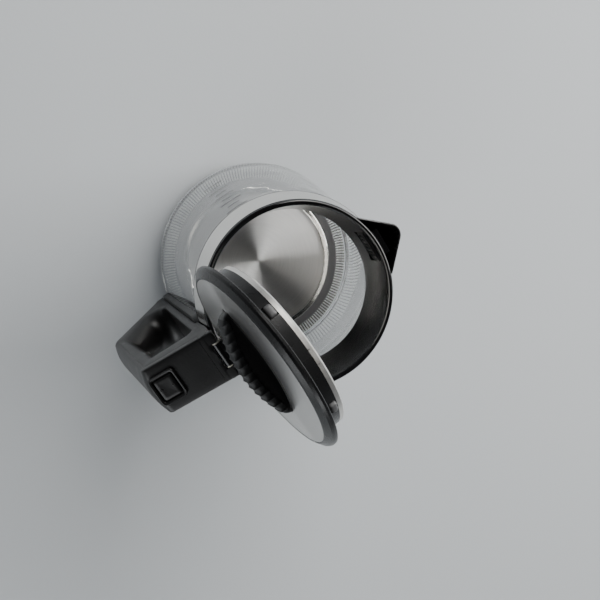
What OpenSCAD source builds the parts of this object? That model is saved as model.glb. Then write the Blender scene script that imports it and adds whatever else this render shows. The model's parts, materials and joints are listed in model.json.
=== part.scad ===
// Cordless electric glass kettle, 1.7 litre class.
// Upright, +Z up, +X towards the spout, handle towards -X, mirror plane Y = 0.
// Origin: centre of the connector socket's mouth, on the standing plane.
// All sizes are in millimetres.

/* [Jug] */
// Outer radius of the glass at its foot
body_r = 80; // [72:1:92]
// Outer radius of the collar at the rim
mouth_r = 60.3; // [54:0.5:66]
// Height of the rim above the standing plane
rim_z = 205; // [180:1:240]
// Wall of the glass
glass_wall = 2.5; // [2:0.1:3.5]
// Height of the black base tray
base_h = 10; // [9:0.5:14]

/* [Heater] */
// Radius of the brushed heating plate inside its clamp ring
plate_r = 55; // [46:0.5:56]
// Height of the glass floor above the tray
floor_rise = 10; // [9.5:0.5:14]
// Bore radius of the connector socket
socket_r = 13; // [11:0.5:15]
// Depth of the connector socket
socket_depth = 9; // [7:0.5:9]

/* [Collar and spout] */
// Height of the polished steel band
band_h = 26; // [20:0.5:30]
// Wall of the steel band
band_t = 0.6; // [0.4:0.1:0.9]
// How far the collar's funnel reaches below the rim
funnel_h = 37.5; // [32:0.5:44]
// How far the spout's tip stands past the rim
spout_reach = 17; // [14:0.5:21]
// Width of the spout where it leaves the collar
spout_w = 43; // [36:0.5:46]
// Width of the pouring window in the collar
window_w = 22; // [18:0.5:23]

/* [Handle] */
// Width of the handle
handle_w = 33; // [28:0.5:38]
// Distance from the rim to the outer end of the top arm
arm_reach = 50; // [44:0.5:60]
// How much further out the grip's lower corner stands
grip_splay = 23; // [10:0.5:30]
// Height of the grip's lower corner
grip_low_z = 70; // [60:1:85]
// Depth of the handle's cover, down to the seam on the side faces
cover_t = 6.5; // [5.5:0.1:7.5]
// Wall of the handle's cover
cover_wall = 2.6; // [2.2:0.1:3.2]

/* [Lid] */
// How far the lid stands open
lid_open = 78; // [0:1:85]
// Radius of the steel disc on top of the lid
lid_plate_r = 54.6; // [48:0.1:55]
// Depth of the lid from its steel disc to its underside
lid_depth = 16.8; // [14:0.1:20]
// Length of the grip bar
bar_len = 68; // [60:1:70]
// Height of the grip bar's arch above the steel disc
bar_rise = 11; // [7:0.5:14]
// Radius of the hinge pin
hinge_pin_r = 1.5; // [1.2:0.1:1.8]

/* [Switch] */
// Length of the rocker along the arm
rocker_l = 14; // [12:0.5:15]
// Width of the rocker
rocker_w = 15; // [12:0.5:17]

/* [Clearances] */
// Gap between pieces that move past each other
move_gap = 0.4; // [0.3:0.05:0.6]
// Gap between pieces that are fixed together
seat_gap = 0.1; // [0.05:0.05:0.2]
// Radial clearance of a pin that turns in its hole
pin_fit = 0.05; // [0.02:0.01:0.1]

/* [Hidden] */
$fn = 96;
soft_fn = 32;
eps = 0.01;
big = 400;

// ---- heights in the base ----
foot_z = base_h + 0.3;
floor_z = base_h + floor_rise;
floor_t = 3;
floor_top = floor_z + floor_t;
plate_z = floor_top + 3;
plate_t = 1.2;
plate_edge_r = plate_r + 3.8;
clamp_w = 4.5;
clamp_h = 2.3;
seal_in = plate_r + clamp_w + seat_gap;
seal_out = seal_in + 7;
seal_top = plate_z + 2;
floor_hole_r = seal_in + 3.4;
spreader_t = 4;
spreader_r = plate_r - 10;
element_r = 3.3;
element_ring_r = spreader_r - 7;
element_z = plate_z - spreader_t - element_r - seat_gap;
cover_low = 1.2;
cover_top = 3.7;
tray_r = body_r - 3;
tray_wall = 2.5;
shelf_t = 1.8;
shelf_in = seal_in + 4;

// ---- glass wall line ----
wall_start = floor_z - 2;
collar_low = rim_z - 31;
glass_top = rim_z - 23;
band_low = collar_low + 1.3;
band_high = band_low + band_h;
glass_top_r = mouth_r + 0.9;
glass_slope = (body_r - glass_top_r) / (glass_top - wall_start);
function glass_r(z) = z < wall_start ? body_r : body_r - (z - wall_start) * glass_slope;

// ---- collar line, parallel to the steel band ----
band_top_r = mouth_r + 0.3;
band_slope = 0.142;
function band_r(z) = band_top_r + (band_high - z) * band_slope;
function seat_r(z) = band_r(z) - band_t - 0.05;
rim_round = 1.5;
funnel_top_r = mouth_r - 3.3;
funnel_low_r = funnel_top_r - 4.9;
funnel_low = rim_z - funnel_h;
function funnel_r(z) =
    funnel_low_r + (funnel_top_r - funnel_low_r) * (z - funnel_low) / (funnel_h - rim_round);
funnel_wall = 2;
groove_top = glass_top + 2.5;

// ---- spout and filter ----
spout_low = rim_z - 27;
spout_wall = 1.8;
window_low = rim_z - 20;
window_high = rim_z - 4;
filter_w = window_w - 1;
filter_t = 2;
filter_x = funnel_top_r - 2.4;
filter_low = window_low + 0.5;
filter_high = window_high - 0.5;
filter_bars = 6;
filter_bar = 1.4;
mesh_t = 0.4;
grille_x = mouth_r - 3;
grille_t = 6.6;

// ---- handle side view, as [x, z] points ----
half_w = handle_w / 2;
hub_front = mouth_r - 2.8;
hub_top = rim_z + 12.5;
arm_end_x = mouth_r + arm_reach;
arm_end_z = rim_z - 2;
grip_low_x = arm_end_x + grip_splay;
grip_depth = 16.5;
mount_t = 4;
mount_gap = 0.3;
foot_mid = body_r + mount_gap + mount_t + 2.7;
foot_x = foot_mid + 3;
foot_low = base_h + 4;
hub_screw_z = rim_z - 10.5;
hub_screw_y = 9;
foot_screw_y = 6.2;
steam_z = rim_z - 7.5;
strut_t = 3.6;
shell_wall = 2.8;
cover_front = mouth_r + 7;
cavity_half = half_w - 3.6;
outer_pts = [
    [-hub_front, hub_top],
    [-arm_end_x, arm_end_z],
    [-grip_low_x, grip_low_z],
    [-foot_x, foot_low],
    [-foot_x + 24, foot_low]
];
outer_radii = [0, 8, 14, 4, 0];
hole_pts = [
    [-glass_r(rim_z - 16) - mount_t - mount_gap - strut_t, rim_z - 16],
    [-arm_end_x + grip_depth, rim_z - 18.5],
    [-grip_low_x + grip_depth + 3, grip_low_z + 15],
    [-glass_r(grip_low_z - 36) - mount_t - mount_gap - strut_t, grip_low_z - 36]
];
hole_radii = [6, 7, 12, 9];
arm_slope = atan2(hub_top - arm_end_z, arm_end_x - hub_front);
function arm_top(x) = arm_end_z + (x + arm_end_x) * tan(arm_slope);

// ---- switch, placed on the sloping arm ----
switch_x = -arm_end_x + 11.5;
bezel_l = rocker_l + 4;
bezel_w = rocker_w + 5;
bezel_rise = 1.6;
bezel_deep = cover_wall + 1.4;
rocker_pin_r = 1;
rocker_pin_z = -3.4;
lever_x = switch_x + 15;
lever_pin_r = 1;
lever_drop = 8.5;

// ---- hinge and lid, drawn closed and then turned open ----
hinge_x = -(mouth_r - 1.3);
hinge_z = rim_z + 9;
knuckle_r = 3.2;
knuckle_half = 8;
washer_t = 0.8;
ear_in = knuckle_half + washer_t + 0.1;
lid_r = mouth_r - 0.2;
lid_low = rim_z + 0.5;
lid_top = rim_z + 6;
lid_base = lid_top - lid_depth;
skirt_r = funnel_low_r + 0.2;
skirt_wall = 2.2;
deck_t = 1.6;
top_t = 0.8;
deck_top = lid_top - top_t - seat_gap;
under_t = 0.7;
under_h = 3.4;
well_l = 35.5;
well_w = 20;
well_depth = 6.5;
well_wall = 1.4;
bar_half = 6.5;
bar_end_rise = 3;
pad_half = 4.5;
pad_rise = 1.2;
pad_ribs = 13;
tab_angle = 35;
tab_w = 7;
tab_h = 4.6;
tab_z = lid_top - 10.5;
tab_proud = 1.8;
tab_deep = 5;
lid_post_ring = well_l + 5.5;
lid_screw_r = 1.4;

black = "#141416";
satin_black = "#1d1d1f";
steel = "#b9bbbd";
bright = "#d5d6d8";
clear = "#dfe6e8";
silicone = "#5d5f61";
brass = "#b8963e";

// ---------- helpers ----------
function unit(v) = v / norm(v);
function turn(a) = a > 180 ? a - 360 : (a < -180 ? a + 360 : a);

// Points of a round of radius r at corner b between a and c.
function fillet(a, b, c, r, steps = 8) =
    let (
        u = unit(a - b),
        v = unit(c - b),
        half = acos(u * v) / 2,
        centre = b + unit(u + v) * r / sin(half),
        p = b + u * r / tan(half) - centre,
        q = b + v * r / tan(half) - centre,
        from = atan2(p[1], p[0]),
        sweep = turn(atan2(q[1], q[0]) - from)
    )
    [for (i = [0 : steps]) centre + r * [cos(from + sweep * i / steps), sin(from + sweep * i / steps)]];

function rounded(pts, radii) =
    let (n = len(pts))
    [for (i = [0 : n - 1])
        each (radii[i] > 0
            ? fillet(pts[(i + n - 1) % n], pts[i], pts[(i + 1) % n], radii[i])
            : [pts[i]])];

// Corner points moved inwards by t, or outwards when t is negative.
function inset(pts, t) =
    let (n = len(pts))
    [for (i = [0 : n - 1])
        let (
            b = pts[i],
            u = unit(pts[(i + n - 1) % n] - b),
            v = unit(pts[(i + 1) % n] - b),
            half = acos(u * v) / 2
        )
        b + unit(u + v) * t / sin(half)];

module ring(r_out, r_in, z0, z1) {
    translate([0, 0, z0])
        difference() {
            cylinder(r = r_out, h = z1 - z0);
            translate([0, 0, -1])
                cylinder(r = r_in, h = z1 - z0 + 2);
        }
}

module spin(pts) {
    rotate_extrude()
        polygon(pts);
}

// Side-view shape given a width across the handle.
module across(width) {
    rotate([90, 0, 0])
        linear_extrude(width, center = true)
            children();
}

module around(count, radius, first = 0) {
    for (i = [0 : count - 1])
        rotate([0, 0, first + i * 360 / count])
            translate([radius, 0, 0])
                children();
}

module round_rect(l, w, r) {
    square([l - 2 * r, w], center = true);
    square([l, w - 2 * r], center = true);
    for (sx = [-1, 1], sy = [-1, 1])
        translate([sx * (l / 2 - r), sy * (w / 2 - r)])
            circle(r = r);
}

// Straight rod between two points.
module rod(a, b, r) {
    d = b - a;
    translate(a)
        rotate([0, acos(d[2] / norm(d)), atan2(d[1], d[0])])
            cylinder(r = r, h = norm(d));
}

module wire(pts, r) {
    for (i = [0 : len(pts) - 2])
        rod(pts[i], pts[i + 1], r);
    for (i = [1 : len(pts) - 2])
        translate(pts[i])
            sphere(r = r);
}

module lid_place() {
    translate([hinge_x, 0, hinge_z])
        rotate([0, -lid_open, 0])
            translate([-hinge_x, 0, -hinge_z])
                children();
}

module switch_place() {
    translate([switch_x, 0, arm_top(switch_x)])
        rotate([0, -arm_slope, 0])
            children();
}

// ---------- jug ----------
module glass_body() {
    foot_round = 1.5;
    cove = 5;
    inner_foot = body_r - glass_wall;
    color(clear, 0.35)
        spin([
            [inner_foot, foot_z],
            [body_r - foot_round, foot_z],
            [body_r, foot_z + foot_round],
            [body_r, wall_start],
            [glass_top_r, glass_top],
            [glass_top_r - glass_wall, glass_top],
            each fillet(
                [glass_top_r - glass_wall, glass_top],
                [glass_r(floor_top) - glass_wall, floor_top],
                [floor_hole_r, floor_top],
                cove
            ),
            [floor_hole_r, floor_top],
            [floor_hole_r, floor_z],
            [inner_foot, floor_z]
        ]);
}

// Printed fill-level ticks on the +Y side of the glass.
module level_marks() {
    tick_t = 0.15;
    long_tick = 16;
    short_tick = 9;
    tick_h = 1.6;
    first = 62;
    step = 12.5;
    color("#8d9092")
        intersection() {
            spin([
                [body_r + tick_t, wall_start],
                [glass_top_r + tick_t, glass_top],
                [glass_top_r, glass_top],
                [body_r, wall_start]
            ]);
            union()
                for (i = [0 : 8])
                    translate([0, body_r, first + i * step])
                        cube([i % 2 == 0 ? long_tick : short_tick, 2 * body_r - 10, tick_h], center = true);
        }
}

module light_ring() {
    ring_out = body_r - glass_wall - 0.4;
    color("#cfd6d8", 0.6)
        ring(ring_out, seal_out - 0.6, base_h + 0.5, floor_z - 0.3);
}

module heating_plate() {
    color(steel)
        translate([0, 0, plate_z])
            cylinder(r = plate_edge_r, h = plate_t);
}

module plate_clamp_ring() {
    z0 = plate_z + plate_t;
    color(bright)
        spin(rounded([
            [plate_r, z0],
            [plate_r + clamp_w, z0],
            [plate_r + clamp_w, z0 + clamp_h],
            [plate_r + 0.6, z0 + clamp_h]
        ], [0, 0, 1, 1.2]));
}

module plate_seal() {
    color(silicone)
        spin([
            [plate_edge_r - 2, floor_top],
            [seal_out, floor_top],
            [seal_out, seal_top - 1],
            [seal_out - 1, seal_top],
            [seal_in, seal_top],
            [seal_in, plate_z],
            [plate_edge_r - 2, plate_z]
        ]);
}

module heat_spreader() {
    color("#a9abad")
        translate([0, 0, plate_z - spreader_t])
            cylinder(r = spreader_r, h = spreader_t);
}

// Sheathed element bent to an open ring, with a cold tail at each end.
module heating_element() {
    gap_angle = 50;
    tail = 9;
    color("#6f6a64") {
        rotate([0, 0, gap_angle / 2])
            rotate_extrude(angle = 360 - gap_angle)
                translate([element_ring_r, element_z])
                    circle(r = element_r);
        for (side = [-1, 1])
            rotate([0, 0, side * gap_angle / 2])
                translate([element_ring_r, 0, element_z - tail])
                    cylinder(r = 1.6, h = tail);
    }
}

module thermostat_control() {
    body_l = 36;
    body_w = 27;
    top = plate_z - spreader_t - 2.8;
    color("#e6e3da")
        translate([-body_l / 2, -body_w / 2, base_h + 0.2])
            cube([body_l, body_w, top - base_h - 0.2]);
}

module thermostat_discs() {
    disc_r = 7;
    spread = 10;
    low = plate_z - spreader_t - 2.8;
    color("#c9b27c")
        for (side = [-1, 1])
            translate([side * spread, 0, low])
                cylinder(r = disc_r, h = 2.7);
}

// Round socket that drops over the power base's centre post.
module cordless_connector() {
    wall = 6;
    flange_r = socket_r + wall + 4;
    color(black)
        difference() {
            union() {
                cylinder(r = socket_r + wall, h = base_h);
                translate([0, 0, cover_top + 0.1])
                    cylinder(r = flange_r, h = 2);
            }
            translate([0, 0, -1])
                cylinder(r = socket_r, h = socket_depth + 1);
            for (z = [2, 5])
                ring(socket_r + 2, socket_r - 1, z, z + 1.6);
        }
}

module connector_contacts() {
    color(brass)
        for (z = [2, 5])
            ring(socket_r + 1.9, socket_r + 0.2, z + 0.1, z + 1.5);
}

module led_board() {
    color("#2f6b45")
        ring(shelf_in - 0.5, shelf_in - 7, base_h + 1.2, base_h + 2.8);
}

module leds() {
    color("#dfe9f5")
        around(6, shelf_in - 3.5, 30)
            translate([0, 0, base_h + 2.8])
                cylinder(r = 1.5, h = 3.4);
}

// ---------- base ----------
screw_ring = tray_r - 9;
lug_half = 9;

// Lug under the handle's foot, from a given radius out to a rounded end.
module lug_plan(from_r, h) {
    corner = 4;
    linear_extrude(h)
        difference() {
            translate([-foot_x, -lug_half])
                square([foot_x, 2 * lug_half]);
            circle(r = from_r);
            for (side = [-1, 1])
                translate([-foot_x, side * lug_half])
                    difference() {
                        square(2 * corner, center = true);
                        translate([corner, -side * corner])
                            circle(r = corner);
                    }
        }
}

module base_housing() {
    channel_half = 4;
    lug_top = foot_low - 0.3;
    color(satin_black)
        difference() {
            union() {
                spin([
                    [tray_r - tray_wall, 0],
                    [tray_r - 1, 0],
                    [tray_r, 1],
                    [tray_r, base_h - shelf_t],
                    [body_r - 1, base_h - shelf_t],
                    [body_r - 1, base_h],
                    [shelf_in, base_h],
                    [shelf_in, base_h - shelf_t],
                    [tray_r - tray_wall, base_h - shelf_t]
                ]);
                around(3, screw_ring)
                    translate([0, 0, cover_top])
                        cylinder(r = 3.6, h = base_h - shelf_t - cover_top + eps);
                translate([0, 0, 1])
                    lug_plan(tray_r - 1, base_h - shelf_t - 1);
                translate([0, 0, 1])
                    lug_plan(body_r + mount_gap, lug_top - 1);
            }
            around(3, screw_ring)
                translate([0, 0, -1])
                    cylinder(r = 1.55, h = base_h - 1);
            translate([-foot_x + 1.6, -channel_half, 3])
                cube([foot_x - tray_r + 8, 2 * channel_half, 4]);
            translate([-foot_mid, 0, 3])
                cylinder(r = 2.4, h = lug_top);
            for (side = [-1, 1])
                translate([-foot_mid, side * foot_screw_y, -1])
                    cylinder(r = 1.55, h = lug_top + 2);
        }
}

module base_cover() {
    color(satin_black)
        difference() {
            translate([0, 0, cover_low])
                cylinder(r = tray_r - tray_wall - 0.2, h = cover_top - cover_low);
            translate([0, 0, -1])
                cylinder(r = socket_r + 6.2, h = base_h);
            around(3, screw_ring)
                translate([0, 0, -1]) {
                    cylinder(r = 1.7, h = base_h);
                    cylinder(r = 3.4, h = 4);
                }
            around(16, tray_r * 0.62)
                translate([0, 0, -1])
                    cylinder(r = 1.6, h = base_h);
        }
}

module base_screws() {
    color("#8a8c8e")
        around(3, screw_ring)
            translate([0, 0, 1.4]) {
                cylinder(r = 3.2, h = 1.5);
                cylinder(r = 1.5, h = base_h - 3.6);
            }
}

// ---------- collar ----------
module collar_ring() {
    lip_z = funnel_low + 1;
    outer_at = groove_top;
    spin([
        [glass_r(collar_low) + 0.3, collar_low],
        [band_r(band_low) + 0.1, collar_low],
        [band_r(band_low) + 0.1, band_low - 0.05],
        [seat_r(band_low), band_low - 0.05],
        [seat_r(band_high + 0.05), band_high + 0.05],
        [mouth_r, band_high + 0.1],
        each fillet([mouth_r, band_high], [mouth_r, rim_z], [funnel_top_r, rim_z], rim_round),
        each fillet([mouth_r, rim_z], [funnel_top_r, rim_z], [funnel_r(lip_z), lip_z], rim_round),
        [funnel_low_r, lip_z],
        [funnel_low_r + 0.5, funnel_low],
        [funnel_low_r + funnel_wall, funnel_low],
        [funnel_r(outer_at) + funnel_wall, outer_at],
        [glass_r(groove_top) + 0.3, groove_top]
    ]);
}

module collar() {
    color(black)
        difference() {
            collar_ring();
            translate([funnel_low_r - 8, -window_w / 2, window_low])
                cube([spout_reach + 12, window_w, window_high - window_low]);
            translate([0, 0, steam_z])
                rotate([0, -90, 0])
                    cylinder(r = 2.6, h = big);
            for (side = [-1, 1])
                translate([-funnel_top_r + 0.5, side * hub_screw_y, hub_screw_z])
                    rotate([0, -90, 0])
                        cylinder(r = 1.55, h = big);
        }
}

module band_shell() {
    spin([
        [band_r(band_low), band_low],
        [band_r(band_high), band_high],
        [band_r(band_high) - band_t, band_high],
        [band_r(band_low) - band_t, band_low]
    ]);
}

module collar_band() {
    color(bright)
        difference() {
            band_shell();
            spout_body(-0.3, spout_low - 0.4, rim_z + 2);
            translate([-big, -half_w - 0.3, 0])
                cube([big, handle_w + 0.6, big]);
        }
}

module collar_seal() {
    color(silicone)
        ring(glass_top_r - 0.05, glass_top_r - glass_wall, glass_top, groove_top);
}

// ---------- spout ----------
// Plan of the spout at one height, from the collar to a rounded tip.
module spout_slab(z, reach, half, tip_r, inset_by) {
    root = mouth_r - 12;
    translate([0, 0, z])
        linear_extrude(0.4) {
            translate([root, -half + inset_by])
                square([mouth_r - 3.3 - root, 2 * (half - inset_by)]);
            translate([mouth_r + reach - tip_r, 0])
                circle(r = tip_r - inset_by);
        }
}

module spout_body(inset_by, low, high) {
    hull($fn = soft_fn) {
        spout_slab(high, spout_reach, spout_w / 2, 7, inset_by);
        spout_slab(high - 7, spout_reach - 1.4, spout_w / 2 - 0.5, 7.5, inset_by);
        spout_slab(low + 2, 8, spout_w / 2 - 1.5, 9, inset_by);
        spout_slab(low, 6.4, spout_w / 2 - 3, 9, inset_by);
    }
}

module spout() {
    lip_slope = 8;
    color(black)
        difference() {
            union() {
                difference() {
                    spout_body(0, spout_low, rim_z - 0.4);
                    spout_body(spout_wall, spout_low + 3, rim_z + 3);
                }
                intersection() {
                    spout_body(0.5, spout_low, rim_z - 0.4);
                    for (side = [-1, 1])
                        spout_ribs(side);
                }
            }
            collar_space();
            translate([mouth_r - 4, -spout_w, rim_z - 0.5])
                rotate([0, lip_slope, 0])
                    cube([big, 2 * spout_w, big]);
        }
}

// Upright ribs on the inside of the trough, along its two side walls.
module spout_ribs(side) {
    from = [mouth_r + 4, 12.2];
    to = [mouth_r + spout_reach - 3.6, 2.9];
    for (i = [0 : 3])
        let (p = from + (to - from) * i / 3)
            translate([p[0], side * p[1], spout_low])
                cylinder(r = 0.8, h = big, $fn = 12);
}

// The collar's outside and everything within it.
module collar_space() {
    spin([
        [0, 0],
        [seat_r(band_low) + seat_gap, band_low],
        [seat_r(band_high) + seat_gap, band_high],
        [mouth_r + seat_gap, band_high],
        [mouth_r + seat_gap, rim_z + 10],
        [0, rim_z + 10]
    ]);
}

// Upright bars across the pouring window, seated on the collar.
module spout_grille() {
    bars = 6;
    bar_w = 1.4;
    half = window_w / 2 - 2.4;
    low = window_low + 1;
    pitch = (2 * half - bar_w) / (bars - 1);
    color(black)
        difference() {
            union() {
                for (i = [0 : bars - 1])
                    translate([grille_x, -half + i * pitch, low])
                        cube([grille_t, bar_w, window_high + 1 - low]);
                for (z = [low, window_high - 0.4])
                    translate([grille_x, -half, z])
                        cube([grille_t, 2 * half, 1.4]);
            }
            collar_space();
        }
}

// Filter cassette that pulls out of the window into the mouth.
module filter_frame() {
    border = 1.6;
    high = filter_high - filter_low;
    pitch = (filter_w - 2 * border) / filter_bars;
    color(satin_black)
        difference() {
            translate([filter_x, -filter_w / 2, filter_low])
                cube([filter_t, filter_w, high]);
            for (i = [0 : filter_bars - 1])
                translate([filter_x - 1, -filter_w / 2 + border + i * pitch + filter_bar / 2, filter_low + border])
                    cube([filter_t + 2, pitch - filter_bar, high - 2 * border]);
        }
}

module filter_mesh() {
    color("#9a9c9e")
        translate([filter_x + filter_t + 0.02, -filter_w / 2 + 1, filter_low + 1])
            cube([mesh_t, filter_w - 2, filter_high - filter_low - 2]);
}

// ---------- handle ----------
module mount_cone(extra, low, high) {
    spin([
        [0, low],
        [glass_r(low) + extra, low],
        [glass_r(wall_start) + extra, wall_start],
        [glass_r(high) + extra, high],
        [0, high]
    ]);
}

// Plate that hugs the glass behind the handle.
module handle_mount() {
    plate_w = 39;
    low = foot_low;
    high = collar_low - 0.3;
    color(satin_black)
        difference() {
            intersection() {
                mount_cone(mount_gap + mount_t, low, high);
                translate([0, 0, (low + high) / 2])
                    rotate([90, 0, -90])
                        linear_extrude(big)
                            round_rect(plate_w, high - low, 14);
            }
            mount_cone(mount_gap, low - 1, high + 1);
        }
}

module shell_outline() {
    polygon(rounded(outer_pts, outer_radii));
}

// Side view of the cover: the outer strip of the arm and the grip.
module cover_strip(ends) {
    intersection() {
        difference() {
            shell_outline();
            polygon(rounded(inset(outer_pts, cover_t + ends), [0, 3, 8, 1, 0]));
            translate([-arm_end_x + 10, 0])
                square([arm_end_x, rim_z - 40]);
        }
        translate([-grip_low_x - 5, grip_low_z + 8 - ends])
            square([grip_low_x + 5 - cover_front + ends, big]);
    }
}

module cavity_outline() {
    difference() {
        polygon(rounded(inset(outer_pts, cover_wall), [0, 5, 10, 1, 0]));
        polygon(inset(hole_pts, -shell_wall));
        translate([-mouth_r - 10, rim_z - 60])
            square([80, 120]);
    }
}

module handle_shell() {
    color(satin_black)
        difference() {
            across(handle_w)
                difference() {
                    shell_outline();
                    polygon(rounded(hole_pts, hole_radii));
                    cover_strip(seat_gap);
                }
            across(2 * cavity_half)
                cavity_outline();
            mount_cone(mount_gap + mount_t + seat_gap, foot_low - 1, collar_low);
            spin([
                [0, collar_low - eps],
                [band_r(band_low) + 0.4, collar_low - eps],
                [band_r(band_low) + 0.4, band_low],
                [band_r(band_high) + 0.4, band_high],
                [mouth_r + 0.4, band_high],
                [mouth_r + 0.4, rim_z],
                [mouth_r + 0.7, rim_z],
                [mouth_r + 0.7, hinge_z - 4],
                [0, hinge_z - 4]
            ]);
            intersection() {
                translate([0, 0, hinge_z - 4 - eps])
                    cylinder(r = mouth_r + 0.7, h = big);
                translate([-big, -ear_in, 0])
                    cube([big, 2 * ear_in, big]);
            }
            translate([hinge_x, 0, hinge_z])
                rotate([90, 0, 0]) {
                    cylinder(r = knuckle_r + move_gap + 0.3, h = 2 * ear_in, center = true);
                    cylinder(r = hinge_pin_r + pin_fit, h = handle_w - 5, center = true);
                }
            translate([-foot_mid, 0, foot_low - 1])
                cylinder(r = 2.4, h = 8);
            for (side = [-1, 1]) {
                translate([-foot_mid, side * foot_screw_y, foot_low - 1])
                    cylinder(r = 1.55, h = 9);
                translate([-mouth_r, side * hub_screw_y, hub_screw_z])
                    rotate([0, -90, 0])
                        cylinder(r = 1.7, h = 16);
            }
            translate([-mouth_r + 1, 0, steam_z])
                rotate([0, -90, 0])
                    cylinder(r = 2.6, h = 14);
        }
}

module handle_cover() {
    color(black)
        difference() {
            across(handle_w)
                cover_strip(0);
            across(2 * cavity_half)
                cavity_outline();
            switch_place()
                translate([0, 0, -bezel_deep - 1])
                    linear_extrude(big)
                        round_rect(bezel_l - 1 + 2 * seat_gap, bezel_w - 1 + 2 * seat_gap, 2);
        }
}

module handle_screws() {
    head_r = 2.6;
    color("#8a8c8e")
        for (side = [-1, 1]) {
            translate([-funnel_top_r - 1, side * hub_screw_y, hub_screw_z])
                rotate([0, -90, 0]) {
                    cylinder(r = 1.5, h = 14);
                    translate([0, 0, 13])
                        cylinder(r = head_r, h = 1.8);
                }
            translate([-foot_mid, side * foot_screw_y, 0.4]) {
                cylinder(r = 1.5, h = foot_low + 6);
            }
        }
}

// ---------- switch ----------
module switch_bezel() {
    color(black)
        switch_place()
            difference() {
                union() {
                    linear_extrude(bezel_rise)
                        round_rect(bezel_l, bezel_w, 3);
                    translate([0, 0, -bezel_deep])
                        linear_extrude(bezel_deep)
                            round_rect(bezel_l - 1 - 2 * seat_gap, bezel_w - 1 - 2 * seat_gap, 2);
                }
                translate([0, 0, -big / 2])
                    linear_extrude(big)
                        round_rect(rocker_l + 2 * move_gap, rocker_w + 2 * move_gap, 1.6);
                translate([0, 0, rocker_pin_z])
                    rotate([90, 0, 0])
                        cylinder(r = rocker_pin_r + 0.02, h = rocker_w + 2.6, center = true);
            }
}

module switch_rocker() {
    stem_w = 5;
    color(satin_black)
        switch_place()
            difference() {
                union() {
                    intersection() {
                        translate([0, 0, -bezel_deep - 0.6])
                            linear_extrude(bezel_deep + 2)
                                round_rect(rocker_l, rocker_w, 1.4);
                        translate([0, 0, rocker_pin_z])
                            rotate([90, 0, 0])
                                cylinder(r = rocker_l / 2 + 0.25, h = rocker_w, center = true);
                    }
                    translate([-1.5, -stem_w / 2, -bezel_deep - 4.5])
                        cube([3, stem_w, 5]);
                }
                for (side = [-1, 1])
                    translate([side * 4.4, 0, 1])
                        cylinder(r = 0.8, h = 2);
                translate([0, 0, rocker_pin_z])
                    rotate([90, 0, 0])
                        cylinder(r = rocker_pin_r + pin_fit, h = rocker_w + 2, center = true);
            }
}

module rocker_pin() {
    color("#8a8c8e")
        switch_place()
            translate([0, 0, rocker_pin_z])
                rotate([90, 0, 0])
                    cylinder(r = rocker_pin_r, h = rocker_w + 2.4, center = true);
}

lever_len = 9;
module trip_lever() {
    color("#e6e3da")
        translate([lever_x, 0, arm_top(lever_x) - lever_drop])
            difference() {
                union() {
                    rotate([90, 0, 0])
                        cylinder(r = 2.2, h = 6, center = true);
                    translate([-lever_len, -3, -0.9])
                        cube([lever_len, 6, 1.8]);
                }
                rotate([90, 0, 0])
                    cylinder(r = lever_pin_r + pin_fit, h = 10, center = true);
            }
}

module lever_pin() {
    color("#8a8c8e")
        translate([lever_x, 0, arm_top(lever_x) - lever_drop])
            rotate([90, 0, 0])
                cylinder(r = lever_pin_r, h = 2 * cavity_half - 0.2, center = true);
}

module steam_disc() {
    disc_x = lever_x + 7;
    color("#c9b27c")
        translate([disc_x, 0, rim_z - 8])
            rotate([0, 90, 0])
                cylinder(r = 5, h = 1.2, center = true);
}

module microswitch() {
    color("#27272a")
        translate([switch_x - 1, 5.2, arm_top(switch_x) - 15])
            cube([16, 6, 5]);
}

// Over-centre spring that snaps the rocker from one side to the other.
module switch_spring() {
    coils = 5;
    pitch = 1.1;
    color("#8a8c8e")
        translate([switch_x + 3.5, -8, arm_top(switch_x) - 15])
            for (i = [0 : coils - 1])
                translate([0, 0, i * pitch])
                    rotate_extrude()
                        translate([2, 0])
                            circle(r = 0.35);
}

module steam_tube() {
    color("#d8d8d4")
        translate([-funnel_top_r + 0.2, 0, steam_z])
            rotate([0, -90, 0])
                difference() {
                    cylinder(r = 2.5, h = 15);
                    translate([0, 0, -1])
                        cylinder(r = 1.8, h = 17);
                }
}

// Two leads from the microswitch, down the grip and into the base.
module wire_harness() {
    lead_r = 0.9;
    color("#7d3030")
        for (side = [-1, 1])
            wire([
                [switch_x - 2.5, 8 + side * 1.1, arm_top(switch_x) - 12.5],
                [-arm_end_x + 7, side * 1.1, arm_end_z - 20],
                [-grip_low_x + 8, side * 1.1, grip_low_z + 6],
                [-foot_mid, side * 1.1, foot_low + 12],
                [-foot_mid, side * 1.1, 5],
                [-spreader_r + 4, side * 1.1, 5]
            ], lead_r, $fn = 10);
}

// ---------- hinge ----------
module hinge_pin() {
    color("#8a8c8e")
        translate([hinge_x, 0, hinge_z])
            rotate([90, 0, 0])
                cylinder(r = hinge_pin_r, h = handle_w - 5.4, center = true);
}

module hinge_washers() {
    color("#e9e7e0")
        for (side = [-1, 1])
            translate([hinge_x, side * (knuckle_half + 0.05 + washer_t / 2), hinge_z])
                rotate([90, 0, 0])
                    difference() {
                        cylinder(r = knuckle_r - 0.2, h = washer_t - 0.05, center = true);
                        cylinder(r = hinge_pin_r + pin_fit, h = 2, center = true);
                    }
}

// ---------- lid, drawn closed ----------
module oval(l, w, z0, z1) {
    // Lens of two arcs, length l along Y and width w along X, with blunt ends.
    arc_r = (l * l + w * w) / (2 * w);
    intersection() {
        translate([arc_r - w, 0, z0])
            cylinder(r = arc_r, h = z1 - z0);
        translate([-arc_r + w, 0, z0])
            cylinder(r = arc_r, h = z1 - z0);
    }
}

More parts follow.
